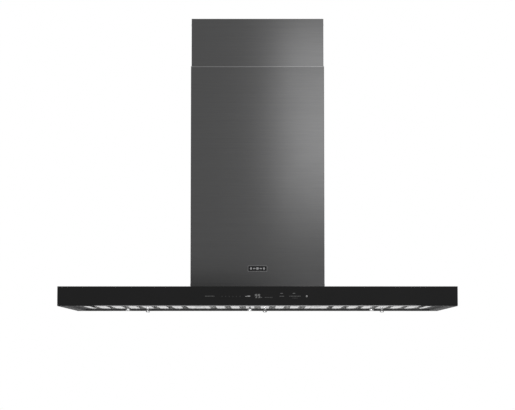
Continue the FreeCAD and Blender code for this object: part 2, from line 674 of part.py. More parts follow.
def filter_frame(name, middle):
    """A shallow tray with a band round the slots, and a hinge pin at each rear corner."""
    body = new_body(f"{name}_tray")
    x = (f"{middle} - {FILTER_HALF[0]}", f"{middle} + {FILTER_HALF[0]}")
    y = span(FILTER_HALF[1])
    slots_half = f"({FILTER_W} / 2 - side_band)"
    band = new_sketch(body, "XY_Plane", PANEL)
    rectangle(band, x, y)
    rectangle(band, (f"{middle} - {slots_half}", f"{middle} + {slots_half}"), span(f"{FILTER_HALF[1]} - end_band"))
    pad(body, band, "filter_sheet")
    walls = new_sketch(body, "XY_Plane", PANEL)
    rectangle(walls, x, y)
    rectangle(walls, (f"{x[0]} + filter_sheet", f"{x[1]} - filter_sheet"), span(f"{FILTER_HALF[1]} - filter_sheet"))
    pad(body, walls, "filter_thickness")
    length = "filter_sheet + filter_side_gap + pin_reach"
    pins = [
        rod(f"{name}_pin", "x", (f"{x[1]} - filter_sheet", PIN_Y, PIN_Z), "pin_radius", length),
        rod(f"{name}_pin", "x", (f"{x[0]} + filter_sheet - ({length})", PIN_Y, PIN_Z), "pin_radius", length),
    ]
    node(name, fuse(name, [body] + pins))


def channel(name, first, width, low, high, open_up, length, count):
    """A row of folded channels along Y, PITCH apart, that open up or down."""
    body = new_body(name)
    section = new_sketch(body, "XZ_Plane")
    left = f"({first} - {width} / 2)"
    right = f"({first} + {width} / 2)"
    flat, lips = (low, high) if open_up else (high, low)
    web = f"({flat} + filter_sheet)" if open_up else f"({flat} - filter_sheet)"
    outline(section, [
        (left, lips),
        (left, flat),
        (right, flat),
        (right, lips),
        (f"{right} - filter_sheet", lips),
        (f"{right} - filter_sheet", web),
        (f"{left} + filter_sheet", web),
        (f"{left} + filter_sheet", lips),
    ])
    feature = pad(body, section, length, both_ways=True)
    doc.recompute()
    pattern(body, [feature], "X_Axis", PITCH, count)
    node(name, body)


def finger_pulls(name, middle):
    """Two turned pulls on the middle bars, one towards the front and one towards the rear."""
    pieces = []
    for sign in (-1, 1):
        x = f"{middle} + {sign} * {PITCH} / 2"
        y = f"{sign} * pull_reach"
        low = f"{PANEL} - pull_length"
        pieces.append(rod(f"{name}_stem", "z", (x, y, low), "pull_stem", "pull_length"))
        pieces.append(rod(f"{name}_head", "z", (x, y, low), "pull_head", "pull_head_height"))
    node(name, fuse(name, pieces))


def filters():
    for side, x in FILTERS:
        name = f"filter_{side}"
        middle = f"({x} * {FILTER_STEP})"
        filter_frame(f"{name}_frame", middle)
        first_bar = f"({middle} - {PITCH} * (slot_count - 2) / 2)"
        channel(f"{name}_lower_baffles", first_bar, "bar_width", PANEL, f"({PANEL} + baffle_lip)", True,
                f"2 * ({FILTER_HALF[1]} - end_band)", "slot_count - 1")
        first_slot = f"({middle} - {PITCH} * (slot_count - 1) / 2)"
        cover = f"({PITCH} - bar_width + 2 * baffle_overlap)"
        channel(f"{name}_upper_baffles", first_slot, cover, f"({FILTER_TOP} - baffle_lip)", FILTER_TOP,
                False, f"2 * ({FILTER_HALF[1]} - filter_sheet)", "slot_count")
        finger_pulls(f"{name}_pulls", middle)


# ---------------------------------------------------------------- blower


def blower_box():
    """A box on the canopy that the scroll hangs in, open below and with the outlet in its top."""
    outer = box("blower_box_block", span(BOX[0]), span(BOX[1]), (TOP, BOX_TOP))
    hollow = box("blower_box_hollow", span(f"{BOX[0]} - blower_sheet"), span(f"{BOX[1]} - blower_sheet"),
                 (f"{TOP} - recess", f"{BOX_TOP} - blower_sheet"))
    outlet = box("blower_box_outlet", span(f"{SCROLL_HALF} - blower_sheet"), span("outlet_half - blower_sheet"),
                 (f"{BOX_TOP} - recess", f"{BOX_TOP} + recess"))
    node("blower_box", cut("blower_box", outer, [hollow, outlet]))


def scroll_housing():
    """A round fan casing whose outlet rises to the box's top, with a round inlet in each side."""
    width = f"2 * {SCROLL_HALF}"
    ceiling = f"({BOX_TOP} - blower_sheet)"
    outer = fuse("scroll_outside", [
        rod("scroll_drum", "x", (f"-{SCROLL_HALF}", "0", FAN_Z), "scroll_radius", width),
        box("scroll_throat", span(SCROLL_HALF), span("outlet_half"), (FAN_Z, ceiling)),
    ])
    inner_half = f"({SCROLL_HALF} - blower_sheet)"
    inner = [
        rod("scroll_bore", "x", (f"-{inner_half}", "0", FAN_Z), "scroll_radius - blower_sheet",
            f"2 * {inner_half}"),
        box("scroll_duct", span(inner_half), span("outlet_half - blower_sheet"), (FAN_Z, BOX_TOP)),
        rod("scroll_inlets", "x", (f"-{SCROLL_HALF} - recess", "0", FAN_Z), "inlet_radius",
            f"{width} + 2 * recess"),
    ]
    node("scroll_housing", cut("scroll_housing", outer, inner))


def inlet_rings():
    """A flat ring round each inlet of the scroll."""
    for side, x in SIDES:
        name = f"inlet_ring_{side}"
        start = SCROLL_HALF if x > 0 else f"-{SCROLL_HALF} - inlet_depth"
        outer = rod(f"{name}_disc", "x", (start, "0", FAN_Z), "inlet_radius + inlet_rim", "inlet_depth")
        bore = rod(f"{name}_bore", "x", (f"{start} - recess", "0", FAN_Z), "inlet_radius",
                   "inlet_depth + 2 * recess")
        node(name, cut(name, outer, [bore]))


SHAFT_START = f"({BOX[0]} - blower_sheet - motor_length * 0.4)"


def motor():
    """The motor on the box's left wall, with a bore for the fan shaft."""
    start = f"(blower_sheet - {BOX[0]})"
    case = rod("motor_case", "x", (start, "0", FAN_Z), "motor_radius", "motor_length * 0.8")
    nose = rod("motor_nose", "x", (start, "0", FAN_Z), "motor_radius * 0.6", "motor_length")
    bore = rod("motor_bore", "x", (f"-{SHAFT_START} - shaft_radius", "0", FAN_Z),
               "shaft_radius + shaft_clearance", "motor_length")
    node("motor", cut("motor", fuse("motor_outside", [case, nose]), [bore]))


def capacitor():
    hang = f"({BOX_TOP} - blower_sheet - capacitor_length)"
    node("capacitor", rod("capacitor", "z", (f"{BOX[0]} - blower_sheet - capacitor_radius - recess",
                                             f"{BOX[1]} / 2", hang), "capacitor_radius", "capacitor_length"))


def fan_wheel():
    """A double-inlet wheel: a middle disc on a hub, a ring at each end and blades all round."""
    half = f"({SCROLL_HALF} - wheel_gap)"
    body = new_body("fan_wheel_rim")
    centre = ("0", FAN_Z)
    disc = new_sketch(body, "YZ_Plane")
    ring(disc, ["wheel_radius", "shaft_radius"], centre)
    pad(body, disc, "wheel_ring", both_ways=True)
    hub = new_sketch(body, "YZ_Plane")
    ring(hub, ["hub_radius", "shaft_radius"], centre)
    pad(body, hub, "hub_length", both_ways=True)
    for offset in (f"-{half}", f"{half} - wheel_ring"):
        end = new_sketch(body, "YZ_Plane", offset)
        ring(end, ["wheel_radius", "wheel_radius - blade_depth"], centre)
        pad(body, end, "wheel_ring")
    blades = []
    count = int(value("blade_count"))
    for index in range(count):
        blade = box("fan_blade", span(half), ("0", "blade_thickness"), ("0", "blade_depth"))
        angle = 360 * index / count
        blade.Placement = Placement(Vector(), Rotation(Vector(1, 0, 0), angle))
        reach = "(wheel_radius - blade_depth)"
        blade.setExpression("Placement.Base.x", formula(f"-{half}"))
        blade.setExpression("Placement.Base.y", formula(f"-{reach} * sin({angle} deg)"))
        blade.setExpression("Placement.Base.z", formula(f"{FAN_Z} + {reach} * cos({angle} deg)"))
        blades.append(blade)
    node("fan_wheel", fuse("fan_wheel", [body] + blades))
    node("fan_shaft", rod("fan_shaft", "x", (f"-{SHAFT_START}", "0", FAN_Z), "shaft_radius",
                          f"{SHAFT_START} + hub_length"))


# ---------------------------------------------------------------- duct collar and damper


def duct_collar():
    """A round spigot with a flange on the blower box, drilled for the damper rod."""
    body = new_body("duct_collar_ring")
    wall = new_sketch(body, "XY_Plane", BOX_TOP)
    ring(wall, ["duct_radius", "duct_radius - duct_wall"])
    pad(body, wall, "duct_height")
    flange = new_sketch(body, "XY_Plane", BOX_TOP)
    ring(flange, ["duct_radius + duct_flange", "duct_radius - duct_wall"])
    pad(body, flange, "duct_wall")
    hole = rod("duct_rod_hole", "y", ("0", "-2 * duct_radius", DAMPER_Z), "damper_rod + knuckle_clearance",
               "4 * duct_radius")
    node("duct_collar", cut("duct_collar", body, [hole]))
    node("damper_rod", rod("damper_rod", "y", ("0", "-duct_radius", DAMPER_Z), "damper_rod", "2 * duct_radius"))


def damper_flaps():
    """Two half-round flaps that hang on one rod by knuckles set in turn along it."""
    for side, x in SIDES:
        name = f"damper_flap_{side}"
        edge = "(knuckle_radius + damper_thickness)"
        reach = (edge, "duct_radius") if x > 0 else ("-duct_radius", f"-{edge}")
        disc = rod(f"{name}_disc", "z", ("0", "0", f"{DAMPER_Z} - damper_thickness / 2"),
                   "duct_radius - duct_wall - damper_gap", "damper_thickness")
        half = box(f"{name}_half", reach, span("duct_radius"),
                   (f"{DAMPER_Z} - damper_thickness", f"{DAMPER_Z} + damper_thickness"))
        plate = doc.addObject("Part::Common", f"{name}_plate")
        plate.Base = disc
        plate.Tool = half
        pieces = [plate]
        for middle in ("-knuckle_length * 2.1", "knuckle_length * 0.8"):
            start = f"{x} * ({middle}) - knuckle_length / 2"
            pieces.append(rod(f"{name}_knuckle", "y", ("0", start, DAMPER_Z), "knuckle_radius", "knuckle_length"))
            tab = (f"{edge} + damper_thickness", "damper_thickness / 2")
            across = tab[::-1] if x > 0 else tuple(f"-({place})" for place in tab)
            pieces.append(box(f"{name}_tab", across, (start, f"{start} + knuckle_length"),
                              (f"{DAMPER_Z} - damper_thickness / 2", f"{DAMPER_Z} + damper_thickness / 2")))
        bore = rod(f"{name}_bore", "y", ("0", "-2 * duct_radius", DAMPER_Z), "damper_rod + knuckle_clearance",
                   "4 * duct_radius")
        node(name, cut(name, fuse(f"{name}_blank", pieces), [bore]))


# ---------------------------------------------------------------- wiring box


def junction_box():
    """A wiring box on the blower box's right wall, its lid, and the gland for the supply cable."""
    near = BOX[0]
    far = f"({BOX[0]} + junction_depth)"
    level = f"({TOP} + junction_level)"
    roof = f"({level} + junction_height)"
    middle = f"({near} + junction_depth / 2)"
    block = box("junction_block", (near, far), span("junction_width / 2"), (level, roof))
    hollow = box("junction_hollow", (f"{near} + junction_wall", f"{far} + junction_wall"),
                 span("junction_width / 2 - junction_wall"), (f"{level} + junction_wall", f"{roof} - junction_wall"))
    entry = rod("junction_entry", "z", (middle, "0", f"{roof} - junction_wall * 2"), "gland_bore",
                "junction_wall * 4")
    node("junction_box", cut("junction_box", block, [hollow, entry]))
    node("junction_cover", box("junction_cover", (far, f"{far} + junction_wall"), span("junction_width / 2"),
                               (level, roof)))
    gland = rod("gland_outside", "z", (middle, "0", roof), "gland_radius", "gland_length")
    bore = rod("gland_way", "z", (middle, "0", f"{roof} - gland_length"), "gland_bore", "3 * gland_length")
    node("cable_gland", cut("cable_gland", gland, [bore]))


# ---------------------------------------------------------------- make, check and write


def check():
    """Stops the build if any object failed or any sub-part has no sound solid."""
    for item in doc.Objects:
        if "Invalid" in item.State or "Error" in item.State:
            raise RuntimeError(f"{item.Label} did not build: {item.State}")
    for part in NODES:
        shape = part.Shape
        if shape.isNull() or not shape.isValid() or not shape.Solids:
            raise RuntimeError(f"{part.Label} has no valid solid")


def write():
    os.makedirs("parts", exist_ok=True)
    for part in NODES:
        part.Shape.exportStep(f"parts/{part.Label}.step")


ceiling_bracket()
upper_posts()
bracket_bolts()
upper_chimney()
lower_posts()
lower_brace()
frame_clamp_screws()
chimney_base()
lower_chimney()
badge_plate()
canopy_shell()
glass_faces()
rim_frame()
dividers()
lamps()
controls()
filters()
blower_box()
scroll_housing()
inlet_rings()
motor()
capacitor()
fan_wheel()
duct_collar()
damper_flaps()
junction_box()
doc.recompute()
check()
write()
print(f"{len(NODES)} sub-parts written")
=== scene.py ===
import math

import bmesh
import bpy
import numpy as np
from bpy.props import FloatProperty, FloatVectorProperty, IntProperty, PointerProperty
from bpy.types import Operator, Panel, PropertyGroup
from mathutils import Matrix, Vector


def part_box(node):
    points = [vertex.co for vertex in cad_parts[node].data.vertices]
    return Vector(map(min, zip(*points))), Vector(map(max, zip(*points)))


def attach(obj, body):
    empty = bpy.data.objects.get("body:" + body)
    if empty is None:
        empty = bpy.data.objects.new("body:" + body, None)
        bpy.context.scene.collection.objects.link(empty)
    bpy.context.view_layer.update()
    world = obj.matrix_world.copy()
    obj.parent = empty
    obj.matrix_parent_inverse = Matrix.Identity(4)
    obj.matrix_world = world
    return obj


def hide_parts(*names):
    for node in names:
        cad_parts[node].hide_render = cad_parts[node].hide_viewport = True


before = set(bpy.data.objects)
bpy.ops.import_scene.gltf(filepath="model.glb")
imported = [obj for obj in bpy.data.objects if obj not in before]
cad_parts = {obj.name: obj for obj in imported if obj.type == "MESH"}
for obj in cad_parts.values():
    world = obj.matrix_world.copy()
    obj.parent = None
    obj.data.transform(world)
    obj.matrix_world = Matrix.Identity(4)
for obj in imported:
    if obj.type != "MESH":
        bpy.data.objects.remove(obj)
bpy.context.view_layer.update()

bl_info = {
    "name": "Island Range Hood",
    "version": (1, 0, 0),
    "blender": (4, 5, 0),
    "location": "3D View > Sidebar > Hood",
    "description": "Builds the looks of an island range hood round its fixed frame",
    "category": "Add Mesh",
}

# The canopy's underside and its front face, as the frame gives them.
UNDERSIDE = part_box("front_trim")[0].z
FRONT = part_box("front_glass")[0].y
# How far the prints stand above the glass. The badge's metal starts as far inside its box.
PRINT = 0.0001
FILTER_SIDES = ("left", "centre", "right")
SIDES = ("left", "right")
# Lower baffles in each filter, with a slot on either side of each.
BARS = 6
# The badge's bars: steps from the middle, then length and height as shares of the plate's.
BADGE_BARS = ((-2, 0.10, 0.44), (-1, 0.13, 0.22), (0, 0.15, 0.44), (1, 0.13, 0.22), (2, 0.10, 0.44))


# ---------------------------------------------------------------- what a user would change


def metres(name, description, default):
    """A size in metres."""
    return FloatProperty(name=name, description=description, default=default, unit="LENGTH")


def number(name, description, default):
    """A number whose unit the description gives."""
    return FloatProperty(name=name, description=description, default=default)


def swatch(name, description, *default):
    """A colour that the panel shows as a swatch."""
    return FloatVectorProperty(name=name, description=description, subtype="COLOR", default=default)


class HoodSizes(PropertyGroup):
    fold: metres("Fold radius", "Outer radius of folded sheet corners", 0.0016)
    sheet: metres("Cover sheet", "Thickness of the chimney covers", 0.001)
    hem: metres("Hem", "Height of the rolled hem on the lower cover's top edge", 0.0027)
    baffle_fold: metres("Baffle fold", "Outer fold radius of the filter baffles", 0.0022)
    baffle_sheet: metres("Baffle sheet", "Thickness of the filter baffles and trays", 0.001)
    bar_width: metres("Bar width", "Width of a lower baffle", 0.0286)
    rivet: metres("Rivet", "Radius of the filter frame's rivets", 0.0024)
    mark_line: metres("Mark line", "Stroke of the printed marks on the glass", 0.0011)
    digit_height: metres("Digit height", "Height of the display's digits", 0.0118)
    blade_count: IntProperty(name="Fan blades", description="Blades round the fan wheel",
                             default=36, min=12, max=60)


class HoodColours(PropertyGroup):
    graphite: swatch("Graphite", "Coated steel of covers and canopy", 0.30, 0.30, 0.303)
    # Edge: a colour painted lighter than the graphite along the hem, a painted highlight on the lower cover's
    # top edge.
    edge: swatch("Edge", "Bare steel hem on the lower cover's top edge", 0.62, 0.62, 0.625)
    rim: swatch("Rim", "Matt coating of the canopy's underside rim", 0.165, 0.165, 0.168)
    glass: swatch("Glass", "Back print of the black glass", 0.021, 0.021, 0.0216)
    baffle: swatch("Baffle steel", "Stainless steel of the filters", 0.66, 0.66, 0.655)
    chrome: swatch("Chrome", "Polished finger pulls", 0.84, 0.84, 0.845)
    zinc: swatch("Zinc", "Zinc coated inner sheet metal", 0.50, 0.51, 0.52)
    # Marks: this colour is also given off as a faint painted glow on every mark.
    marks: swatch("Marks", "Printed marks on the glass", 0.30, 0.30, 0.30)


class HoodStage(PropertyGroup):
    distance: metres("Distance", "Camera to the middle of the hood, front to back", 6.2588)
    eye_drop: metres("Eye drop", "Camera below the canopy's underside", 0.1466)
    tilt: FloatProperty(name="Tilt", description="Camera's upward tilt",
                        default=math.radians(4.396), subtype="ANGLE")
    lens: number("Lens", "Focal length in millimetres on a 36 mm wide sensor", 135.81)
    floor_drop: metres("Floor drop", "Floor below the canopy's underside", 1.75)
    front_level: number("Front level", "Brightness that the front faces mirror", 0.24)
    back_level: number("Back level", "Brightness behind and below the hood", 1.0)
    side_share: number("Side share", "Brightness to the sides, as a share of straight ahead", 0.5)
    key_power: number("Key power", "Soft light at the front right, in watts", 2.1)
    fill_power: number("Fill power", "Low strip light in front of the pulls, in watts", 24.0)
    slot_power: number("Slot power", "The same strip's light inside the filters' slots, in watts", 4.0)


class HoodSettings(PropertyGroup):
    sizes: PointerProperty(type=HoodSizes)
    colours: PointerProperty(type=HoodColours)
    stage: PointerProperty(type=HoodStage)


# ---------------------------------------------------------------- surfaces


def grid_faces(rows, columns, wrap_rows, wrap_columns):
    """Four-sided faces between neighbours of a grid of points, joined end to end where it wraps."""
    r, c = np.meshgrid(np.arange(rows if wrap_rows else rows - 1),
                       np.arange(columns if wrap_columns else columns - 1), indexing="ij")
    r_next, c_next = (r + 1) % rows, (c + 1) % columns
    corners = [r * columns + c, r * columns + c_next, r_next * columns + c_next, r_next * columns + c]
    return np.stack(corners, axis=-1).reshape(-1, 4)


def ring_section(section, half, centre, radius, steps=6):
    """A closed section carried round a rounded rectangle.

    Each row of section is (outward offset in x, outward offset in y, height). The rectangle grows by
    the offsets, and the corner's radius by the smaller of them, so walls keep their thickness.
    """
    section = np.asarray(section, float)
    turn = np.linspace(0, math.pi / 2, steps + 1)
    angles = np.concatenate([turn + quarter * math.pi / 2 for quarter in range(4)])
    sign_x = np.repeat([1, -1, -1, 1], steps + 1)
    sign_y = np.repeat([1, 1, -1, -1], steps + 1)
    corner = np.maximum(radius + section[:, :2].min(axis=1), 0.00005)[:, None]
    x = sign_x * (half[0] + section[:, :1] - corner) + corner * np.cos(angles) + centre[0]
    y = sign_y * (half[1] + section[:, 1:2] - corner) + corner * np.sin(angles) + centre[1]
    z = np.broadcast_to(section[:, 2:3], x.shape)
    points = np.stack([x, y, z], axis=-1).reshape(-1, 3)
    return points, grid_faces(len(section), len(angles), True, True), []


def lofted(outlines):
    """Closed outlines with the same number of points, each joined to the next, with both ends closed."""
    count = len(outlines[0])
    caps = [np.arange(count)[::-1], np.arange(count) + (len(outlines) - 1) * count]
    return np.concatenate(outlines), grid_faces(len(outlines), count, False, True), caps


def bar_section(outline, start, end, axis):
    """A closed outline carried straight along an axis from start to end, with both ends closed."""
    return lofted([np.insert(np.asarray(outline, float), axis, place, axis=1) for place in (start, end)])


def turned(section, centre, axis, steps=32, closed=False):
    """A section of (radius, place along the axis) turned about an axis through centre.

    Rows with no radius become poles once doubles are merged.
    """
    section = np.asarray(section, float)
    angles = np.linspace(0, 2 * math.pi, steps, endpoint=False)
    across = [i for i in range(3) if i != axis]
    points = np.empty((len(section), steps, 3))
    points[:, :, across[0]] = section[:, :1] * np.cos(angles) + centre[across[0]]
    points[:, :, across[1]] = section[:, :1] * np.sin(angles) + centre[across[1]]
    points[:, :, axis] = section[:, 1:2] + centre[axis]
    return points.reshape(-1, 3), grid_faces(len(section), steps, closed, True), []


def joined(shapes):
    """Several shapes as one: each shape is its points, its four-sided faces and its end faces."""
    firsts = np.cumsum([0] + [len(points) for points, _, _ in shapes])
    points = np.concatenate([points for points, _, _ in shapes])
    quads = np.concatenate([quads + first for (_, quads, _), first in zip(shapes, firsts)])
    caps = [cap + first for (_, _, caps), first in zip(shapes, firsts) for cap in caps]
    return points, quads, caps


def arc(centre, radius, start, end, steps):
    """Points of an arc in a plane, from one angle to another in degrees."""
    angles = np.radians(np.linspace(start, end, steps + 1))
    return [(centre[0] + radius * math.cos(a), centre[1] + radius * math.sin(a)) for a in angles]


def folded_channel(width, depth, sheet, fold, steps=4):
    """Outline of a folded channel that opens towards +second axis, with round folds, about x = 0."""
    half = width / 2
    inner = max(fold - sheet, 0.0001)
    outer_left = arc((-half + fold, fold), fold, 180, 270, steps)
    outer_right = arc((half - fold, fold), fold, 270, 360, steps)
    inner_right = arc((half - fold, fold), inner, 360, 270, steps)
    inner_left = arc((-half + fold, fold), inner, 270, 180, steps)
    return np.array([(-half, depth)] + outer_left + outer_right + [(half, depth), (half - sheet, depth)]
                    + inner_right + inner_left + [(-half + sheet, depth)])


def rounded(width, height, radius, steps=3):
    """Outline of a rectangle with round corners, about the origin."""
    x, y = width / 2 - radius, height / 2 - radius
    return np.array(arc((x, y), radius, 0, 90, steps) + arc((-x, y), radius, 90, 180, steps)
                    + arc((-x, -y), radius, 180, 270, steps) + arc((x, -y), radius, 270, 360, steps))


def cushion(low, high, edge, corner, axis, steps=4):
    """A slab between two corners, with round corners across an axis and both its faces' edges rounded.

    The outline shrinks by edge * (1 - sin t) while the place moves in by edge * (1 - cos t).
    """
    across = [i for i in range(3) if i != axis]
    width, height = (high[i] - low[i] for i in across)
    middle = np.array([(high[i] + low[i]) / 2 for i in across])
    turn = np.linspace(0, math.pi / 2, steps)
    inset = edge * (1 - np.sin(turn))
    depth = edge * (1 - np.cos(turn))
    insets = np.concatenate([inset, inset[::-1]])
    places = np.concatenate([low[axis] + depth, high[axis] - depth[::-1]])
    rows = [np.insert(rounded(width - 2 * i, height - 2 * i, corner) + middle, axis, place, axis=1)
            for i, place in zip(insets, places)]
    return lofted(rows)


def pill(length, height, steps):
    """Outline of a bar with round ends, about the origin."""
    return rounded(length, height, min(length, height) / 2, steps)


def piece(name, shape, body, material, replaces=(), flat_angle=35):
    """A new object from points and faces, facing outwards, smooth but for edges over an angle."""
    points, quads, caps = shape
    mesh = bpy.data.meshes.new(name)
    mesh.from_pydata(points.tolist(), [], quads.tolist() + [cap.tolist() for cap in caps])
    solid = bmesh.new()
    solid.from_mesh(mesh)
    bmesh.ops.remove_doubles(solid, verts=solid.verts, dist=1e-7)
    bmesh.ops.recalc_face_normals(solid, faces=solid.faces)
    solid.to_mesh(mesh)
    solid.free()
    mesh.shade_smooth()
    mesh.set_sharp_from_angle(angle=math.radians(flat_angle))
    mesh.materials.append(material)
    made = bpy.data.objects.new(name, mesh)
    bpy.context.scene.collection.objects.link(made)
    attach(made, body)
    if replaces:
        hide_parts(*replaces)
    return made


def finish_nodes(material, *names):
    """Gives carried-over nodes their material."""
    for name in names:
        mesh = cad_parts[name].data
        mesh.materials.clear()
        mesh.materials.append(material)


# ---------------------------------------------------------------- shared effects


MADE = {}


def made_once(build):
    """Keeps one copy of each effect and material, whichever asks first."""
    def ask(*arguments):
        key = (build.__name__, *arguments)
        if key not in MADE:
            MADE[key] = build(*arguments)
        return MADE[key]
    return ask


def add_node(tree, kind, **values):
    """A new shader node. Each value goes to the input that it names, with _ for a space."""
    node = tree.nodes.new(f"ShaderNode{kind}")
    for label, value in values.items():
        node.inputs[label.replace("_", " ")].default_value = value
    return node


def wire(tree, *lines):
    """Links nodes. Each line is a node, its output, the next node and its input."""
    for source, output, target, entry in lines:
        tree.links.new(source.outputs[output], target.inputs[entry])


def math_node(tree, operation):
    """A node that works out one sum, such as MULTIPLY."""
    node = add_node(tree, "Math")
    node.operation = operation
    return node


def new_group(name, numbers, outputs):
    """A node group from a Vector and named numbers to named numbers, with its two end nodes."""
    group = bpy.data.node_groups.new(name, "ShaderNodeTree")
    group.interface.new_socket(name="Vector", in_out="INPUT", socket_type="NodeSocketVector")
    for label, default in numbers.items():
        socket = group.interface.new_socket(name=label, in_out="INPUT", socket_type="NodeSocketFloat")
        socket.default_value = default
    for label in outputs:
        group.interface.new_socket(name=label, in_out="OUTPUT", socket_type="NodeSocketFloat")
    return group, group.nodes.new("NodeGroupInput"), group.nodes.new("NodeGroupOutput")


@made_once
def brush_grain():
    """Fine brushing: stretched noise at two scales, as a shade from 0 to 1 and a height."""
    numbers = {"Fine Scale": 6.0, "Coarse Share": 0.45}
    group, entry, out = new_group("Brush Grain", numbers, ("Shade", "Height"))
    coarse = add_node(group, "TexNoise", Scale=1.0, Detail=4.0, Roughness=0.7)
    fine = add_node(group, "TexNoise", Detail=2.0)
    blend = add_node(group, "Mix")
    spread = add_node(group, "MapRange", From_Min=0.3, From_Max=0.7)
    wire(group,
         (entry, "Vector", coarse, "Vector"),
         (entry, "Vector", fine, "Vector"),
         (entry, "Fine Scale", fine, "Scale"),
         (entry, "Coarse Share", blend, "Factor"),
         (fine, "Fac", blend, "A"),
         (coarse, "Fac", blend, "B"),
         (blend, "Result", spread, "Value"),
         (spread, "Result", out, "Shade"),
         (blend, "Result", out, "Height"))
    return group


@made_once
def soft_smudge():
    """Handling marks and haze: wide cloudy noise that a threshold thins out."""
    group, entry, out = new_group("Soft Smudge", {"Scale": 6.0, "Amount": 0.5}, ("Mask",))
    cloud = add_node(group, "TexNoise", Detail=5.0, Distortion=0.4)
    thin = add_node(group, "MapRange", From_Min=0.42, From_Max=0.72)
    scale = math_node(group, "MULTIPLY")
    wire(group,
         (entry, "Vector", cloud, "Vector"),
         (entry, "Scale", cloud, "Scale"),
         (cloud, "Fac", thin, "Value"),
         (thin, "Result", scale, 0),
         (entry, "Amount", scale, 1),
         (scale, "Value", out, "Mask"))
    return group


@made_once
def speckle():
    """Zinc flowers and cast grain: cells of slightly different grey."""
    group, entry, out = new_group("Speckle", {"Scale": 120.0}, ("Shade", "Height"))
    cells = add_node(group, "TexVoronoi")
    split = add_node(group, "SeparateColor")
    grain = add_node(group, "TexNoise", Detail=3.0)
    wire(group,
         (entry, "Vector", cells, "Vector"),
         (entry, "Scale", cells, "Scale"),
         (entry, "Vector", grain, "Vector"),
         (entry, "Scale", grain, "Scale"),
         (cells, "Color", split, "Color"),
         (split, "Red", out, "Shade"),
         (grain, "Fac", out, "Height"))
    return group


# ---------------------------------------------------------------- materials


class Finish:
    """A Principled material in the making, with short ways to add what varies over the surface.

    A tint and a roughness are each (low, high), and a bump is (strength, height in metres).
    """

    def __init__(self, name, colour, roughness, metallic=0.0, stretch=(1.0, 1.0, 1.0)):
        self.material = bpy.data.materials.new(name)
        self.material.use_nodes = True
        self.tree = self.material.node_tree
        self.shader = self.tree.nodes["Principled BSDF"]
        self.colour = tuple(colour)
        self.set("Base Color", (*self.colour, 1.0))
        self.set("Roughness", roughness)
        self.set("Metallic", metallic)
        self.plain = add_node(self.tree, "TexCoord")
        self.stretched = add_node(self.tree, "Mapping", Scale=stretch)
        wire(self.tree, (self.plain, "Object", self.stretched, "Vector"))

    def set(self, label, value):
        self.shader.inputs[label].default_value = value

    def effect(self, group, stretched=True, **values):
        """A shared effect's node, on the stretched or the plain Object coordinates."""
        node = add_node(self.tree, "Group")
        node.node_tree = group
        for label, value in values.items():
            node.inputs[label].default_value = value
        source = (self.stretched, "Vector") if stretched else (self.plain, "Object")
        wire(self.tree, (*source, node, "Vector"))
        return node

    def vary_roughness(self, effect, output, low, high):
        """Lets the roughness run from low to high as the effect runs from 0 to 1."""
        spread = add_node(self.tree, "MapRange", To_Min=low, To_Max=high)
        wire(self.tree, (effect, output, spread, "Value"), (spread, "Result", self.shader, "Roughness"))

    def tint(self, effect, output, low, high):
        """Lets the colour run between two strengths of itself as the effect runs from 0 to 1."""
        mix = add_node(self.tree, "Mix")
        mix.data_type = "RGBA"
        mix.inputs["A"].default_value = (*(low * c for c in self.colour), 1.0)
        mix.inputs["B"].default_value = (*(high * c for c in self.colour), 1.0)
        wire(self.tree, (effect, output, mix, "Factor"), (mix, "Result", self.shader, "Base Color"))

    def use(self, effect, output, tint, roughness, bump=None):
        """Lets an effect drive colour, roughness and bump, each where its values are given."""
        if tint:
            self.tint(effect, output, *tint)
        if roughness:
            self.vary_roughness(effect, output, *roughness)
        if bump:
            strength, distance = bump
            relief = add_node(self.tree, "Bump", Strength=strength, Distance=distance)
            wire(self.tree, (effect, "Height", relief, "Height"), (relief, "Normal", self.shader, "Normal"))

    def brushed(self, tint, roughness=None, bump=None):
        self.use(self.effect(brush_grain()), "Shade", tint, roughness, bump)

    def speckled(self, scale, tint, roughness=None, bump=None):
        self.use(self.effect(speckle(), Scale=scale), "Shade", tint, roughness, bump)

    def smudged(self, scale, amount, tint=None, roughness=None, stretched=True):
        self.use(self.effect(soft_smudge(), stretched, Scale=scale, Amount=amount), "Mask", tint, roughness)

    def stretch_shine(self, amount, turn):
        """Brushing that smears reflections across its lines, round the upright axis."""
        tangent = add_node(self.tree, "Tangent")
        tangent.direction_type = "RADIAL"
        tangent.axis = "Z"
        self.set("Anisotropic", amount)
        self.set("Anisotropic Rotation", turn)
        wire(self.tree, (tangent, "Tangent", self.shader, "Tangent"))


def colours():
    return bpy.context.scene.island_hood.colours


@made_once
def graphite_cover():
    """Dark coated steel, brushed sideways on upright faces."""
    finish = Finish("Graphite Cover", colours().graphite, 0.36, 1.0, (3.0, 3.0, 420.0))
    finish.brushed((0.90, 1.08), bump=(0.06, 0.0004))
    finish.smudged(5.0, 0.6, roughness=(0.34, 0.40), stretched=False)
    finish.stretch_shine(0.55, 0.25)
    return finish.material


@made_once
def hem_painted_highlight():
    """Painted highlight along the hem: steel in a lighter colour than the covers, brushed sideways."""
    finish = Finish("Hem Painted Highlight", colours().edge, 0.36, 1.0, (3.0, 3.0, 420.0))
    finish.brushed((0.92, 1.06), (0.32, 0.42))
    finish.stretch_shine(0.55, 0.25)
    return finish.material


@made_once
def graphite_sheet():
    """The same coated steel, brushed along the canopy's length."""
    finish = Finish("Graphite Sheet", colours().graphite, 0.40, 1.0, (3.0, 420.0, 420.0))
    finish.brushed((0.88, 1.08), (0.36, 0.46), (0.06, 0.0004))
    return finish.material


@made_once
def rim_coating():
    """Matt dark coating on the rim and the recess, with a faint orange peel."""
    finish = Finish("Rim Coating", colours().rim, 0.62)
    finish.set("Specular IOR Level", 0.03)
    finish.speckled(900.0, None, (0.58, 0.68), (0.10, 0.0002))
    finish.smudged(14.0, 1.0, tint=(1.0, 1.25))
    return finish.material


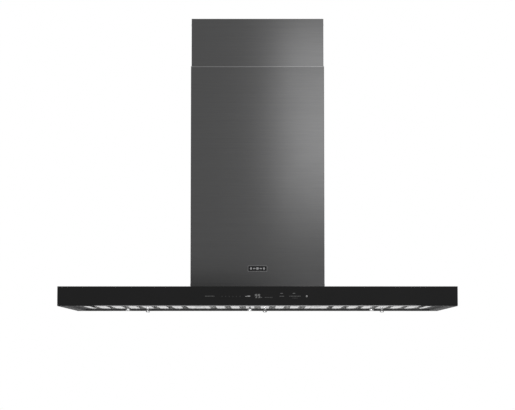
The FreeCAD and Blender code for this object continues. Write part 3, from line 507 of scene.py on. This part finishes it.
@made_once
def black_glass():
    """Toughened glass with a black back print: a deep colour under a clear, slightly hazed face."""
    finish = Finish("Black Glass", colours().glass, 0.06)
    finish.set("IOR", 1.5)
    finish.smudged(9.0, 1.0, (1.0, 1.12), (0.05, 0.11))
    return finish.material


@made_once
def bright_trim():
    """Satin aluminium strip with fine lines along it."""
    finish = Finish("Bright Trim", (0.80, 0.80, 0.81), 0.30, 1.0, (6.0, 900.0, 900.0))
    finish.brushed((0.90, 1.04), (0.26, 0.36))
    return finish.material


@made_once
def baffle_steel():
    """Stainless steel brushed front to back, with handling haze."""
    finish = Finish("Baffle Steel", colours().baffle, 0.24, 1.0, (520.0, 4.0, 520.0))
    finish.brushed((0.88, 1.05), bump=(0.05, 0.0003))
    finish.smudged(11.0, 0.8, roughness=(0.22, 0.34), stretched=False)
    return finish.material


@made_once
def inner_baffle_steel_painted_lighter():
    """The same stainless steel left mill-finished on the upper baffles, duller and more scattering, its
    colour painted lighter than the lower baffles' to lift the shade inside the slots.
    """
    # Painted light: this colour is lighter than the baffle steel, to brighten the upper baffles seen in the
    # shaded slots.
    finish = Finish("Inner Baffle Steel Painted Lighter", (0.8, 0.8, 0.795), 0.5, 1.0, (300.0, 8.0, 300.0))
    finish.brushed((0.92, 1.06), (0.46, 0.58))
    return finish.material


@made_once
def polished_chrome():
    """Bright nickel-chrome plating, buffed to a soft gloss."""
    finish = Finish("Polished Chrome", colours().chrome, 0.26, 1.0)
    finish.smudged(60.0, 1.0, (1.0, 0.95), (0.22, 0.32))
    return finish.material


@made_once
def zinc_sheet():
    """Hot-dip zinc: large soft cells of grey and a satin face."""
    finish = Finish("Zinc Sheet", colours().zinc, 0.42, 1.0)
    finish.speckled(95.0, (0.80, 1.08), (0.36, 0.52), (0.08, 0.0003))
    return finish.material


@made_once
def screw_steel():
    """Plated steel of the screws and bolts."""
    finish = Finish("Screw Steel", (0.48, 0.48, 0.49), 0.30, 1.0)
    finish.speckled(1400.0, (0.86, 1.05), (0.26, 0.38))
    return finish.material


@made_once
def shaft_steel():
    """Ground bar steel of the fan shaft and the damper rod."""
    finish = Finish("Shaft Steel", (0.58, 0.58, 0.59), 0.18, 1.0, (900.0, 60.0, 60.0))
    finish.brushed((0.88, 1.05), (0.14, 0.24))
    return finish.material


@made_once
def motor_paint():
    """Black paint over cast metal."""
    finish = Finish("Motor Paint", (0.035, 0.036, 0.04), 0.45)
    finish.speckled(700.0, (0.85, 1.2), (0.38, 0.55), (0.2, 0.0003))
    return finish.material


@made_once
def moulded_plastic(name, red, green, blue):
    """Moulded plastic with a fine spark-eroded texture."""
    finish = Finish(name, (red, green, blue), 0.5)
    finish.speckled(1600.0, (0.93, 1.04), (0.42, 0.56), (0.15, 0.0001))
    return finish.material


@made_once
def lamp_diffuser():
    """Frosted lens: bright, soft and slightly clear."""
    finish = Finish("Lamp Diffuser", (0.86, 0.87, 0.88), 0.35)
    finish.speckled(1200.0, (0.97, 1.02), (0.30, 0.42), (0.2, 0.0002))
    return finish.material


@made_once
def badge_metal():
    """The badge's dark brushed plate."""
    finish = Finish("Badge Metal", (0.06, 0.06, 0.062), 0.40, 1.0, (10.0, 10.0, 1500.0))
    finish.brushed((0.85, 1.1), (0.36, 0.46))
    return finish.material


@made_once
def badge_bright():
    """The badge's raised metal, satin and a little dulled."""
    finish = Finish("Badge Bright", (0.84, 0.84, 0.85), 0.42, 1.0, (10.0, 10.0, 1500.0))
    finish.brushed((0.90, 1.08), (0.36, 0.48))
    return finish.material


@made_once
def mark_print_with_glow(strength):
    """Printed mark on the glass, at a share of the marks' colour, with a faint glow of that colour: painted
    light on the printed marks, and on the display's digits a stand-in for their lit segments.
    """
    shade = tuple(strength * c for c in colours().marks)
    finish = Finish(f"Mark {strength:.2f}", shade, 0.4)
    finish.speckled(2500.0, (0.92, 1.05))
    # Painted light: the mark gives off its own colour as a faint glow.
    finish.set("Emission Color", (*shade, 1.0))
    finish.set("Emission Strength", 0.6)
    return finish.material


# ---------------------------------------------------------------- operators


def wall_section(low, high, sheet):
    """Section of an upright sheet wall with both its ends rounded."""
    middle = -sheet / 2
    outline = (arc((middle, low + sheet / 2), sheet / 2, 0, -180, 6)
               + arc((middle, high - sheet / 2), sheet / 2, 180, 0, 6))
    return np.array([(o, o, z) for o, z in outline])


def hem_section(high, height, sheet):
    """Section of the folded hem: it bulges outwards round its middle and closes over the sheet's end."""
    rise = np.linspace(0, math.pi, 9)
    outside = [(0.0003 * math.sin(t), high - height + height * t / math.pi) for t in rise]
    return np.array([(o, o, z) for o, z in outside + [(-sheet, high), (-sheet, high - height)]])


class HOOD_OT_chimney_covers(Operator):
    """Make both chimney covers as folded sheet with round corners, and the hem on the lower one, coloured
    lighter as a painted highlight
    """
    bl_idname = "hood.chimney_covers"
    bl_label = "Chimney Covers"

    def execute(self, context):
        sizes = context.scene.island_hood.sizes
        covers = (("upper_chimney", "ceiling_frame", 0.0), ("lower_chimney", "hood", sizes.hem))
        for node, body, hem in covers:
            low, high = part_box(node)
            place = (high.x, high.y), (0, 0), sizes.fold
            wall = ring_section(wall_section(low.z, high.z - hem, sizes.sheet), *place)
            piece(f"{node}_cover", wall, body, graphite_cover(), (node,))
            if hem:
                # The hem's lighter colour is a painted highlight along the lower cover's top edge.
                edge = ring_section(hem_section(high.z, hem, sizes.sheet), *place)
                piece(f"{node}_hem", edge, body, hem_painted_highlight())
        return {"FINISHED"}


def screw(centre, axis, sign, head, height, shank, length):
    """A pan-head screw with a six-sided socket, its head at centre and facing along sign times axis."""
    ring = [
        (0.0, height * 0.45),
        (head * 0.42, height * 0.45),
        (head * 0.46, height * 0.98),
        (head * 0.62, height),
        (head * 0.86, height * 0.84),
        (head, height * 0.42),
        (head, 0.0),
        (shank, 0.0),
        (shank, -length),
        (0.0, -length),
    ]
    return turned([(r, sign * a) for r, a in ring], centre, axis, steps=18)


class HOOD_OT_cover_screws(Operator):
    """Make the screws that hold the two chimney covers"""
    bl_idname = "hood.cover_screws"
    bl_label = "Cover Screws"

    def execute(self, context):
        for node, body in (("upper_chimney_screws", "ceiling_frame"), ("lower_chimney_screws", "hood")):
            low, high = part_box(node)
            head = (high.z - low.z) / 2
            middle = (low.z + high.z) / 2
            height, shank, length = 0.0018, 0.0025, 0.0042
            screws = []
            for sign in (-1, 1):
                for y in (low.y + head, high.y - head):
                    base = (sign * (high.x - height), y, middle)
                    screws.append(screw(base, 0, sign, head, height, shank, length))
            piece(f"{node}_set", joined(screws), body, screw_steel(), (node,))
        return {"FINISHED"}


class HOOD_OT_badge(Operator):
    """Make the badge: a dark plate, a thin bright border and a plain row of five bars"""
    bl_idname = "hood.badge"
    bl_label = "Badge"

    def execute(self, context):
        low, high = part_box("badge_plate")
        centre = np.array([(low.x + high.x) / 2, (low.z + high.z) / 2])
        length, height = high.x - low.x, high.z - low.z
        front = low.y + PRINT
        corner, rim, relief, thick, pitch = 0.0015, 0.0009, 0.0004, 0.0005, length * 0.17
        outer = rounded(length, height, corner) + centre
        inner = rounded(length - 2 * rim, height - 2 * rim, corner - rim) + centre
        plate = bar_section(outer, low.y + relief, high.y, 1)
        piece("badge_base", plate, "hood", badge_metal(), ("badge_plate",))
        layers = [(outer, front + relief), (outer, front), (inner, front), (inner, front + relief)]
        points = np.concatenate([np.insert(outline, 1, y, axis=1) for outline, y in layers])
        border = points, grid_faces(len(layers), len(outer), True, True), []
        piece("badge_border", border, "hood", badge_bright())
        bars = []
        for steps, share, rise in BADGE_BARS:
            outline = pill(length * share, height * rise, 5) + centre + [steps * pitch, 0.0]
            bars.append(bar_section(outline, front, front + thick, 1))
        piece("badge_motif", joined(bars), "hood", badge_bright())
        return {"FINISHED"}


class HOOD_OT_glass_faces(Operator):
    """Finish both glass faces and make the satin trim strips under them"""
    bl_idname = "hood.glass_faces"
    bl_label = "Glass Faces"

    def execute(self, context):
        for end in ("front", "rear"):
            low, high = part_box(f"{end}_glass")
            pane = cushion((low.x, low.y + PRINT, low.z), (high.x, high.y - PRINT, high.z),
                           edge=0.0006, corner=0.0008, axis=1)
            piece(f"{end}_glass_pane", pane, "hood", black_glass(), (f"{end}_glass",))
            low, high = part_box(f"{end}_trim")
            middle = np.array([(low.y + high.y) / 2, (low.z + high.z) / 2])
            outline = rounded(high.y - low.y, high.z - low.z, radius=0.0005) + middle
            strip = bar_section(outline, low.x, high.x, 0)
            piece(f"{end}_trim_strip", strip, "hood", bright_trim(), (f"{end}_trim",))
        return {"FINISHED"}


def glass_mark(x, z, length, height):
    """A flat mark with round ends on the front glass, x across from the middle and z above the underside."""
    outline = pill(length, height, 4) + np.array([x, UNDERSIDE + z])
    return bar_section(outline, FRONT, FRONT + 2 * PRINT, 1)


def dashes(x, z, pitch, count, length, height):
    """A row of equal marks, the first of them at x."""
    return [glass_mark(x + step * pitch, z, length, height) for step in range(count)]


def ring_mark(x, z, radius, line):
    """A flat ring on the front glass."""
    section = [(radius - line, 0.0), (radius, 0.0), (radius, 2 * PRINT), (radius - line, 2 * PRINT)]
    return turned(section, (x, FRONT, UNDERSIDE + z), 1, steps=24, closed=True)


# The strokes of a nine on a seven-stroke display, across and up from its middle in half sizes.
NINE = ((0, 1), (0, 0), (0, -1), (-1, 0.5), (1, 0.5), (1, -0.5))


def nine(x, z, height, line):
    """A seven-stroke nine centred on x and z."""
    half = (height - line) / 2
    width = height * 0.42
    return [glass_mark(x + across * width / 2, z + up * half,
                       *((line, half - line * 0.4) if across else (width - line, line)))
            for across, up in NINE]


class HOOD_OT_touch_marks(Operator):
    """Print plain generic marks, two digits and touch dots on the front glass"""
    bl_idname = "hood.touch_marks"
    bl_label = "Touch Marks"

    def execute(self, context):
        sizes = context.scene.island_hood.sizes
        height, line = sizes.digit_height, sizes.mark_line
        digits = nine(-0.0045, 0.0305, height, line) + nine(0.0045, 0.0305, height, line)
        bright = [
            glass_mark(-0.0345, 0.0295, 0.0055, 0.0018),
            glass_mark(-0.0265, 0.0300, 0.0090, 0.0032),
            glass_mark(0.1500, 0.0300, 0.0020, 0.0060),
            ring_mark(0.1500, 0.0300, 0.0028, 0.0008),
        ]
        middling = [
            glass_mark(0.0115, 0.0262, 0.0050, 0.0016),
            *dashes(-0.1580, 0.0300, 0.0042, 7, 0.0030, 0.0020),
            *dashes(0.06846, 0.0298, 0.0036, 4, 0.0026, 0.0020),
            glass_mark(0.0735, 0.0385, 0.0080, 0.0018),
            glass_mark(0.1110, 0.0385, 0.0080, 0.0020),
            *dashes(0.0985, 0.0300, 0.0044, 8, 0.0033, 0.0018),
        ]
        dim = [
            *dashes(0.0240, 0.0262, 0.0050, 5, 0.0034, 0.0022),
            *dashes(0.1080, 0.0242, 0.0040, 4, 0.0028, 0.0014),
        ]
        dots = [ring_mark(-0.1080 + step * 0.0110, 0.0290, 0.0016, 0.0005) for step in range(6)]
        for name, marks, strength in (("display_digits", digits, 1.15), ("marks_bright", bright, 1.0),
                                      ("marks_middling", middling, 0.42), ("marks_dim", dim, 0.24),
                                      ("touch_dots", dots, 0.18)):
            piece(name, joined(marks), "hood", mark_print_with_glow(strength))
        return {"FINISHED"}


class HOOD_OT_canopy_metal(Operator):
    """Finish the canopy's sheet metal, the rim and the dividers"""
    bl_idname = "hood.canopy_metal"
    bl_label = "Canopy Metal"

    def execute(self, context):
        finish_nodes(graphite_sheet(), "canopy_shell")
        finish_nodes(rim_coating(), "rim_frame")
        finish_nodes(baffle_steel(), "divider_left", "divider_right")
        return {"FINISHED"}


def rivet(centre, radius):
    """A low dome that hangs down from centre."""
    section = [(radius, 0.0002), (radius, 0.0), (radius * 0.88, -radius * 0.28),
               (radius * 0.55, -radius * 0.48), (0.0, -radius * 0.55)]
    return turned(section, centre, 2, steps=12)


class HOOD_OT_filters(Operator):
    """Make the three baffle filters: a rolled frame, folded lower and upper baffles, and rivets"""
    bl_idname = "hood.filters"
    bl_label = "Baffle Filters"

    def execute(self, context):
        sizes = context.scene.island_hood.sizes
        bar = sizes.bar_width
        sheet, fold = sizes.baffle_sheet, sizes.baffle_fold
        for side in FILTER_SIDES:
            body = f"filter_{side}"
            low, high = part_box(f"{body}_lower_baffles")
            pitch = (high.x - low.x - bar) / (BARS - 1)
            outline = folded_channel(bar, high.z - low.z, sheet, fold) + [low.x + bar / 2, low.z]
            self.row(f"{body}_lower", outline, pitch, BARS, (low.y, high.y), body, baffle_steel())
            low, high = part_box(f"{body}_upper_baffles")
            width = high.x - low.x - pitch * BARS
            upside_down = folded_channel(width, high.z - low.z, sheet, fold) * [1, -1]
            outline = upside_down + [low.x + width / 2, high.z]
            # The upper baffles' lighter colour paints light into the shaded slots.
            self.row(f"{body}_upper", outline, pitch, BARS + 1, (low.y, high.y), body, inner_baffle_steel_painted_lighter())
            self.frame_and_rivets(body, pitch, sizes)
        return {"FINISHED"}

    def row(self, name, outline, pitch, count, span, body, material):
        """Folded channels side by side, each a pitch further across."""
        bars = [bar_section(outline + [pitch * i, 0.0], *span, 1) for i in range(count)]
        piece(f"{name}_bars", joined(bars), body, material, (f"{name}_baffles",))

    def frame_and_rivets(self, body, pitch, sizes):
        """A tray whose wall rolls into a flat band round the slots, two hinge pins, and the rivets."""
        low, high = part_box(f"{body}_frame")
        bars_low, bars_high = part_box(f"{body}_lower_baffles")
        sheet, fold = sizes.baffle_sheet, sizes.baffle_fold
        middle = (low.x + high.x) / 2
        corner, pin_reach, pin_from_rear, pin_height = 0.004, 0.0036, 0.006, 0.005
        half = ((high.x - low.x) / 2 - pin_reach, (high.y - low.y) / 2)
        slots_half = (BARS + 1) / 2 * pitch - sizes.bar_width / 2
        band = (half[0] - slots_half, half[1] - bars_high.y)
        rows = [(0.0, 0.0, high.z)]
        rows += [(o, o, z) for o, z in arc((-fold, low.z + fold), fold, 0, -90, 4)]
        rows += [(-band[0], -band[1], low.z), (-band[0], -band[1], low.z + sheet)]
        rows += [(o, o, z) for o, z in arc((-fold, low.z + fold), fold - sheet, -90, 0, 4)]
        rows += [(-sheet, -sheet, high.z)]
        shapes = [ring_section(rows, half, (middle, 0), corner, steps=5)]
        radius, chamfer, inside = 0.003, 0.0006, 0.0008
        reach = pin_reach + inside
        for sign in (-1, 1):
            section = [(0.0, 0.0), (radius, 0.0), (radius, sign * (reach - chamfer)),
                       (radius - chamfer, sign * reach), (0.0, sign * reach)]
            centre = (middle + sign * (half[0] - inside), high.y - pin_from_rear, low.z + pin_height)
            shapes.append(turned(section, centre, 0, steps=20))
        piece(f"{body}_tray", joined(shapes), body, baffle_steel(), (f"{body}_frame",))
        across = [bars_low.x + sizes.bar_width / 2 + pitch * i for i in range(BARS)]
        from_end, beyond_bars = 0.011, band[1] * 0.45
        across += [middle + sign * (half[0] - from_end) for sign in (-1, 1)]
        rivets = [rivet((x, y, low.z), sizes.rivet)
                  for y in (bars_low.y - beyond_bars, bars_high.y + beyond_bars) for x in across]
        piece(f"{body}_rivets", joined(rivets), body, baffle_steel())


class HOOD_OT_finger_pulls(Operator):
    """Turn the finger pulls: a waisted stem, a grooved head and a washer against the bar"""
    bl_idname = "hood.finger_pulls"
    bl_label = "Finger Pulls"

    def execute(self, context):
        for side in FILTER_SIDES:
            body = f"filter_{side}"
            low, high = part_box(f"{body}_pulls")
            head, length = 0.00675, high.z - low.z
            stem, washer = head * 0.52, head * 0.78
            section = [
                (0.0, 0.0), (head * 0.55, 0.0), (head * 0.86, 0.0005), (head, 0.0016),
                (head, 0.0022), (head * 0.93, 0.0025), (head, 0.0028), (head, 0.0040),
                (head * 0.88, 0.0049), (head * 0.66, 0.0058), (stem, 0.0075),
                (stem, length - 0.0022), (washer, length - 0.0014), (washer, length), (0.0, length),
            ]
            pulls = [turned(section, (x, y, low.z), 2, steps=32)
                     for x, y in ((low.x + head, low.y + head), (high.x - head, high.y - head))]
            piece(f"{body}_pull_pair", joined(pulls), body, polished_chrome(),
                  (f"{body}_pulls",))
        return {"FINISHED"}


class HOOD_OT_lamps(Operator):
    """Make the lamps: a ribbed frosted lens in a white tray in each divider"""
    bl_idname = "hood.lamps"
    bl_label = "Lamps"

    def execute(self, context):
        tray = moulded_plastic("Lamp Tray White", 0.78, 0.78, 0.77)
        finish_nodes(tray, "lamp_housing_left", "lamp_housing_right")
        ribs, rib_height, lip, clear = 10, 0.0005, 0.0006, 0.0001
        for side in SIDES:
            node = f"lamp_lens_{side}"
            low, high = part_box(node)
            middle, width = (low.x + high.x) / 2, high.x - low.x
            across = np.linspace(-0.5, 0.5, ribs * 4 + 1)
            crown = rib_height * (0.5 + 0.5 * np.cos(across * ribs * 2 * math.pi))
            face = [(middle + a * (width - 2 * lip), low.z + clear + c) for a, c in zip(across, crown)]
            outline = np.array([(low.x, high.z), (low.x, low.z + lip)] + face
                               + [(high.x, low.z + lip), (high.x, high.z)])
            lens = bar_section(outline, low.y, high.y, 1)
            piece(f"{node}_ribbed", lens, "hood", lamp_diffuser(), (node,))
        return {"FINISHED"}


class HOOD_OT_ceiling_frame(Operator):
    """Finish the bracket, the telescoping posts, the brace, the base and their screws"""
    bl_idname = "hood.ceiling_frame"
    bl_label = "Frame Metal"

    def execute(self, context):
        posts = [name for name in sorted(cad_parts) if "_post_" in name]
        finish_nodes(zinc_sheet(), "ceiling_bracket", "lower_brace", "chimney_base", *posts)
        finish_nodes(screw_steel(), "bracket_bolts", "frame_clamp_screws")
        return {"FINISHED"}


class HOOD_OT_blower(Operator):
    """Make the fan wheel with curved blades, the finned motor, the inlet rings and the rest of the blower"""
    bl_idname = "hood.blower"
    bl_label = "Blower"

    def execute(self, context):
        finish_nodes(zinc_sheet(), "blower_box", "scroll_housing")
        finish_nodes(shaft_steel(), "fan_shaft")
        finish_nodes(moulded_plastic("Capacitor White", 0.72, 0.72, 0.68), "capacitor")
        low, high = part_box("fan_wheel")
        centre = (low + high) / 2
        blades = context.scene.island_hood.sizes.blade_count
        self.wheel(blades, centre, (high.x - low.x) / 2, (high.z - low.z) / 2)
        self.motor()
        self.inlets(centre)
        return {"FINISHED"}

    def wheel(self, count, centre, half, radius):
        """Blades are arcs that lean forwards, set evenly between two rims and a middle disc."""
        ring, depth, blade, lean_angle = 0.003, 0.013, 0.0008, 0.16
        shapes = []
        along = np.linspace(0, 1, 7)
        radii = radius - depth + depth * along
        lean = lean_angle * along ** 2
        for index in range(count):
            angle = 2 * math.pi * index / count + lean
            sides = []
            for offset in (-blade / 2, blade / 2):
                turn = angle + offset / radii
                sides.append(np.stack([radii * np.cos(turn) + centre.y, radii * np.sin(turn) + centre.z], -1))
            outline = np.concatenate([sides[0], sides[1][::-1]])
            shapes.append(bar_section(outline, centre.x - half + ring, centre.x + half - ring, 0))
        middle = tuple(centre)
        for start in (-half, half - ring):
            section = [(radius - depth, start), (radius, start), (radius, start + ring),
                       (radius - depth, start + ring)]
            shapes.append(turned(section, middle, 0, steps=72, closed=True))
        bore, boss, reach, chamfer, disc = 0.004, 0.012, 0.015, 0.001, 0.0015
        half_hub = [(bore, reach), (boss - chamfer, reach), (boss, reach - chamfer), (boss, disc),
                    (radius, disc)]
        hub = [(r, -a) for r, a in half_hub] + half_hub[::-1]
        shapes.append(turned(hub, middle, 0, steps=72, closed=True))
        piece("fan_wheel_bladed", joined(shapes), "fan", zinc_sheet(), ("fan_wheel",))

    def motor(self):
        """A drum with cooling fins, a stepped nose and a bore for the shaft."""
        low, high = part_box("motor")
        centre = (low.x, (low.y + high.y) / 2, (low.z + high.z) / 2)
        radius, length = (high.z - low.z) / 2, high.x - low.x
        shaft_low, shaft_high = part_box("fan_shaft")
        shaft = (shaft_high.z - shaft_low.z) / 2
        bore, bore_end = shaft + 0.00005, shaft_low.x - shaft - low.x
        drum, plain, fins, groove = length * 0.8, 0.006, 9, radius * 0.93
        pitch = (drum - 2 * plain) / fins
        section = [(0.0, 0.0), (radius * 0.96, 0.0), (radius, 0.002)]
        for index in range(fins):
            start = plain + index * pitch
            section += [(radius, start), (radius, start + pitch * 0.45),
                        (groove, start + pitch * 0.52), (groove, start + pitch * 0.93)]
        section += [(radius, drum - 0.004), (radius * 0.97, drum), (radius * 0.62, drum),
                    (radius * 0.58, length - 0.002), (radius * 0.54, length), (bore, length),
                    (bore, bore_end), (0.0, bore_end)]
        shape = turned(section, centre, 0, steps=48)
        piece("motor_finned", shape, "hood", motor_paint(), ("motor",))

    def inlets(self, centre):
        """Bell-mouthed rings: a flat rim that rolls inwards to the throat."""
        throat, sheet, lip = 0.062, 0.0012, 0.0016
        for side in SIDES:
            node = f"inlet_ring_{side}"
            low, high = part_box(node)
            sign = 1 if side == "right" else -1
            base = low.x if sign > 0 else high.x
            outer, depth = (high.z - low.z) / 2, high.x - low.x
            mouth = arc((throat + depth, 0.0), depth, 180, 90, 8)
            section = [(r, sign * a) for r, a in [(throat, 0.0)] + mouth[1:]
                       + [(outer, depth), (outer, depth - sheet), (throat + depth, depth - sheet),
                          (throat + lip, 0.0)]]
            shape = turned(section, (base, centre.y, centre.z), 0, steps=72, closed=True)
            piece(f"{node}_bell", shape, "hood", zinc_sheet(), (node,))


class HOOD_OT_duct(Operator):
    """Make the duct collar with its rolled bead, and finish the damper"""
    bl_idname = "hood.duct"
    bl_label = "Duct Collar and Damper"

    def execute(self, context):
        low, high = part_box("duct_collar")
        radius, sheet, flange, bend = 0.1, 0.0015, (high.x - low.x) / 2, 0.001
        bead, half_bead, bead_rise = high.z - 0.0145, 0.0024, 0.0008
        section = [(radius - sheet, high.z), (radius, high.z), (radius, bead + half_bead)]
        section += [(radius + bead_rise * math.sin(t), bead + half_bead * math.cos(t))
                    for t in np.linspace(0, math.pi, 7)[1:-1]]
        section += [(radius, bead - half_bead), (radius, low.z + sheet + bend),
                    (radius + bend, low.z + sheet), (flange, low.z + sheet),
                    (flange, low.z), (radius - sheet, low.z)]
        collar = turned(section, (0, 0, 0), 2, steps=96, closed=True)
        piece("duct_collar_beaded", collar, "hood", zinc_sheet(), ("duct_collar",))
        finish_nodes(zinc_sheet(), "damper_flap_left", "damper_flap_right")
        finish_nodes(shaft_steel(), "damper_rod")
        return {"FINISHED"}


class HOOD_OT_wiring(Operator):
    """Finish the wiring box and gland, and the board and display behind the glass"""
    bl_idname = "hood.wiring"
    bl_label = "Wiring and Controls"

    def execute(self, context):
        finish_nodes(zinc_sheet(), "junction_box", "junction_cover")
        finish_nodes(moulded_plastic("Gland Black", 0.03, 0.03, 0.031), "cable_gland")
        finish_nodes(moulded_plastic("Board Green", 0.02, 0.14, 0.06), "control_board")
        finish_nodes(moulded_plastic("Display Smoke", 0.03, 0.03, 0.032), "display_module")
        return {"FINISHED"}


# ---------------------------------------------------------------- stage


def smooth_ramp(tree, start, end, first, last):
    """A node that runs smoothly from first to last as its Value runs from start to end."""
    ramp = add_node(tree, "MapRange", From_Min=start, From_Max=end, To_Min=first, To_Max=last)
    ramp.interpolation_type = "SMOOTHSTEP"
    return ramp


def glow_white_to_the_eye(tree, level, shader):
    """Gives a glowing shader a level, but full white where the camera sees it directly."""
    path = add_node(tree, "LightPath")
    seen = add_node(tree, "Mix", B=1.0)
    wire(tree,
         (path, "Is Camera Ray", seen, "Factor"),
         (level, "Result", seen, "A"),
         (seen, "Result", shader, "Strength"))


class HOOD_OT_stage(Operator):
    """Set up the camera, the pale floor, the white surround and the soft lights"""
    bl_idname = "hood.stage"
    bl_label = "Stage"

    def execute(self, context):
        stage = context.scene.island_hood.stage
        self.camera(stage)
        self.surround(stage)
        self.floor(stage)
        self.lights(stage)
        bpy.context.scene.view_settings.view_transform = "Standard"
        return {"FINISHED"}

    def camera(self, stage):
        data = bpy.data.cameras.new("Camera")
        data.lens = stage.lens
        data.sensor_width = 36.0
        data.clip_end = 200.0
        camera = bpy.data.objects.new("Camera", data)
        camera.location = (0.0, -stage.distance, UNDERSIDE - stage.eye_drop)
        camera.rotation_euler = (math.pi / 2 + stage.tilt, 0.0, 0.0)
        bpy.context.scene.collection.objects.link(camera)
        bpy.context.scene.camera = camera

    def surround(self, stage):
        """White to the eye, and bright behind the hood but dim in front of it in reflections."""
        world = bpy.data.worlds.new("Surround")
        bpy.context.scene.world = world
        world.use_nodes = True
        tree = world.node_tree
        background = tree.nodes["Background"]
        background.inputs["Color"].default_value = (1.0, 1.0, 1.0, 1.0)
        direction = add_node(tree, "TexCoord")
        split = add_node(tree, "SeparateXYZ")
        sideways = math_node(tree, "ABSOLUTE")
        share = math_node(tree, "MULTIPLY")
        behind = smooth_ramp(tree, -0.5, 0.7, 0.0, 1.0)
        spread = smooth_ramp(tree, 0.0, 0.2, 1.0, stage.side_share)
        mirrored = add_node(tree, "Mix", A=stage.front_level, B=stage.back_level)
        wire(tree,
             (direction, "Generated", split, "Vector"),
             (split, "Y", behind, "Value"),
             (split, "X", sideways, 0),
             (sideways, "Value", spread, "Value"),
             (behind, "Result", share, 0),
             (spread, "Result", share, 1),
             (share, "Value", mirrored, "Factor"))
        glow_white_to_the_eye(tree, mirrored, background)

    def floor(self, stage):
        """A wide pale floor, as bright as the surround above it, and clear from below."""
        reach, height, dim_until, bright_from = 60.0, UNDERSIDE - stage.floor_drop, -2.5, 7.0
        mesh = bpy.data.meshes.new("floor")
        corners = [(x * reach, y * reach, height) for x, y in ((-1, -1), (1, -1), (1, 1), (-1, 1))]
        mesh.from_pydata(corners, [], [(0, 1, 2, 3)])
        floor = bpy.data.objects.new("floor", mesh)
        bpy.context.scene.collection.objects.link(floor)
        material = bpy.data.materials.new("Pale Floor")
        material.use_nodes = True
        mesh.materials.append(material)
        tree = material.node_tree
        tree.nodes.clear()
        place = add_node(tree, "TexCoord")
        split = add_node(tree, "SeparateXYZ")
        level = smooth_ramp(tree, dim_until, bright_from, stage.front_level, stage.back_level)
        glow = add_node(tree, "Emission")
        clear = add_node(tree, "BsdfTransparent")
        facing = add_node(tree, "NewGeometry")
        sides = add_node(tree, "MixShader")
        output = add_node(tree, "OutputMaterial")
        wire(tree,
             (place, "Object", split, "Vector"),
             (split, "Y", level, "Value"),
             (facing, "Backfacing", sides, "Fac"),
             (glow, "Emission", sides, 1),
             (clear, "BSDF", sides, 2),
             (sides, "Shader", output, "Surface"))
        glow_white_to_the_eye(tree, level, glow)

    def lights(self, stage):
        """A soft panel at the front right, and low strips that light only the pulls or the slots."""
        self.panel("Key Panel", stage.key_power, place=(0.49, -1.35, -0.05), size=(0.70, 1.06), turn=90)
        for part, power in (("pull_pair", stage.fill_power), ("upper_bars", stage.slot_power)):
            strip = self.panel(f"Strip for {part}", power, place=(0.0, -1.0, -1.2), size=(1.6, 0.3), turn=110)
            lit = bpy.data.collections.new(f"Lit {part}")
            for side in FILTER_SIDES:
                lit.objects.link(bpy.data.objects[f"filter_{side}_{part}"])
            strip.light_linking.receiver_collection = lit

    def panel(self, name, power, place, size, turn):
        """A soft light that the camera doesn't see. At a turn of 90 degrees it shines straight back."""
        data = bpy.data.lights.new(name, "AREA")
        data.shape = "RECTANGLE"
        data.size, data.size_y = size
        data.energy = power
        light = bpy.data.objects.new(name, data)
        light.location = place
        light.rotation_euler = (math.radians(turn), 0.0, 0.0)
        light.visible_camera = False
        bpy.context.scene.collection.objects.link(light)
        return light


# ---------------------------------------------------------------- panel and run


STEPS = (
    HOOD_OT_chimney_covers,
    HOOD_OT_cover_screws,
    HOOD_OT_badge,
    HOOD_OT_glass_faces,
    HOOD_OT_touch_marks,
    HOOD_OT_canopy_metal,
    HOOD_OT_filters,
    HOOD_OT_finger_pulls,
    HOOD_OT_lamps,
    HOOD_OT_ceiling_frame,
    HOOD_OT_blower,
    HOOD_OT_duct,
    HOOD_OT_wiring,
    HOOD_OT_stage,
)


class HOOD_PT_sidebar(Panel):
    """Lists the steps and the values they use"""
    bl_idname = "HOOD_PT_sidebar"
    bl_label = "Island Range Hood"
    bl_space_type = "VIEW_3D"
    bl_region_type = "UI"
    bl_category = "Hood"

    def draw(self, context):
        settings = context.scene.island_hood
        for group in (settings.sizes, settings.colours, settings.stage):
            box = self.layout.box()
            for name in group.__annotations__:
                box.prop(group, name)
        for step in STEPS:
            self.layout.operator(step.bl_idname)


CLASSES = (HoodSizes, HoodColours, HoodStage, HoodSettings, *STEPS, HOOD_PT_sidebar)


def register():
    for item in CLASSES:
        bpy.utils.register_class(item)
    bpy.types.Scene.island_hood = PointerProperty(type=HoodSettings)


def unregister():
    del bpy.types.Scene.island_hood
    for item in reversed(CLASSES):
        bpy.utils.unregister_class(item)


def main():
    register()
    for step in STEPS:
        family, name = step.bl_idname.split(".")
        getattr(getattr(bpy.ops, family), name)()


if __name__ == "__main__":
    main()
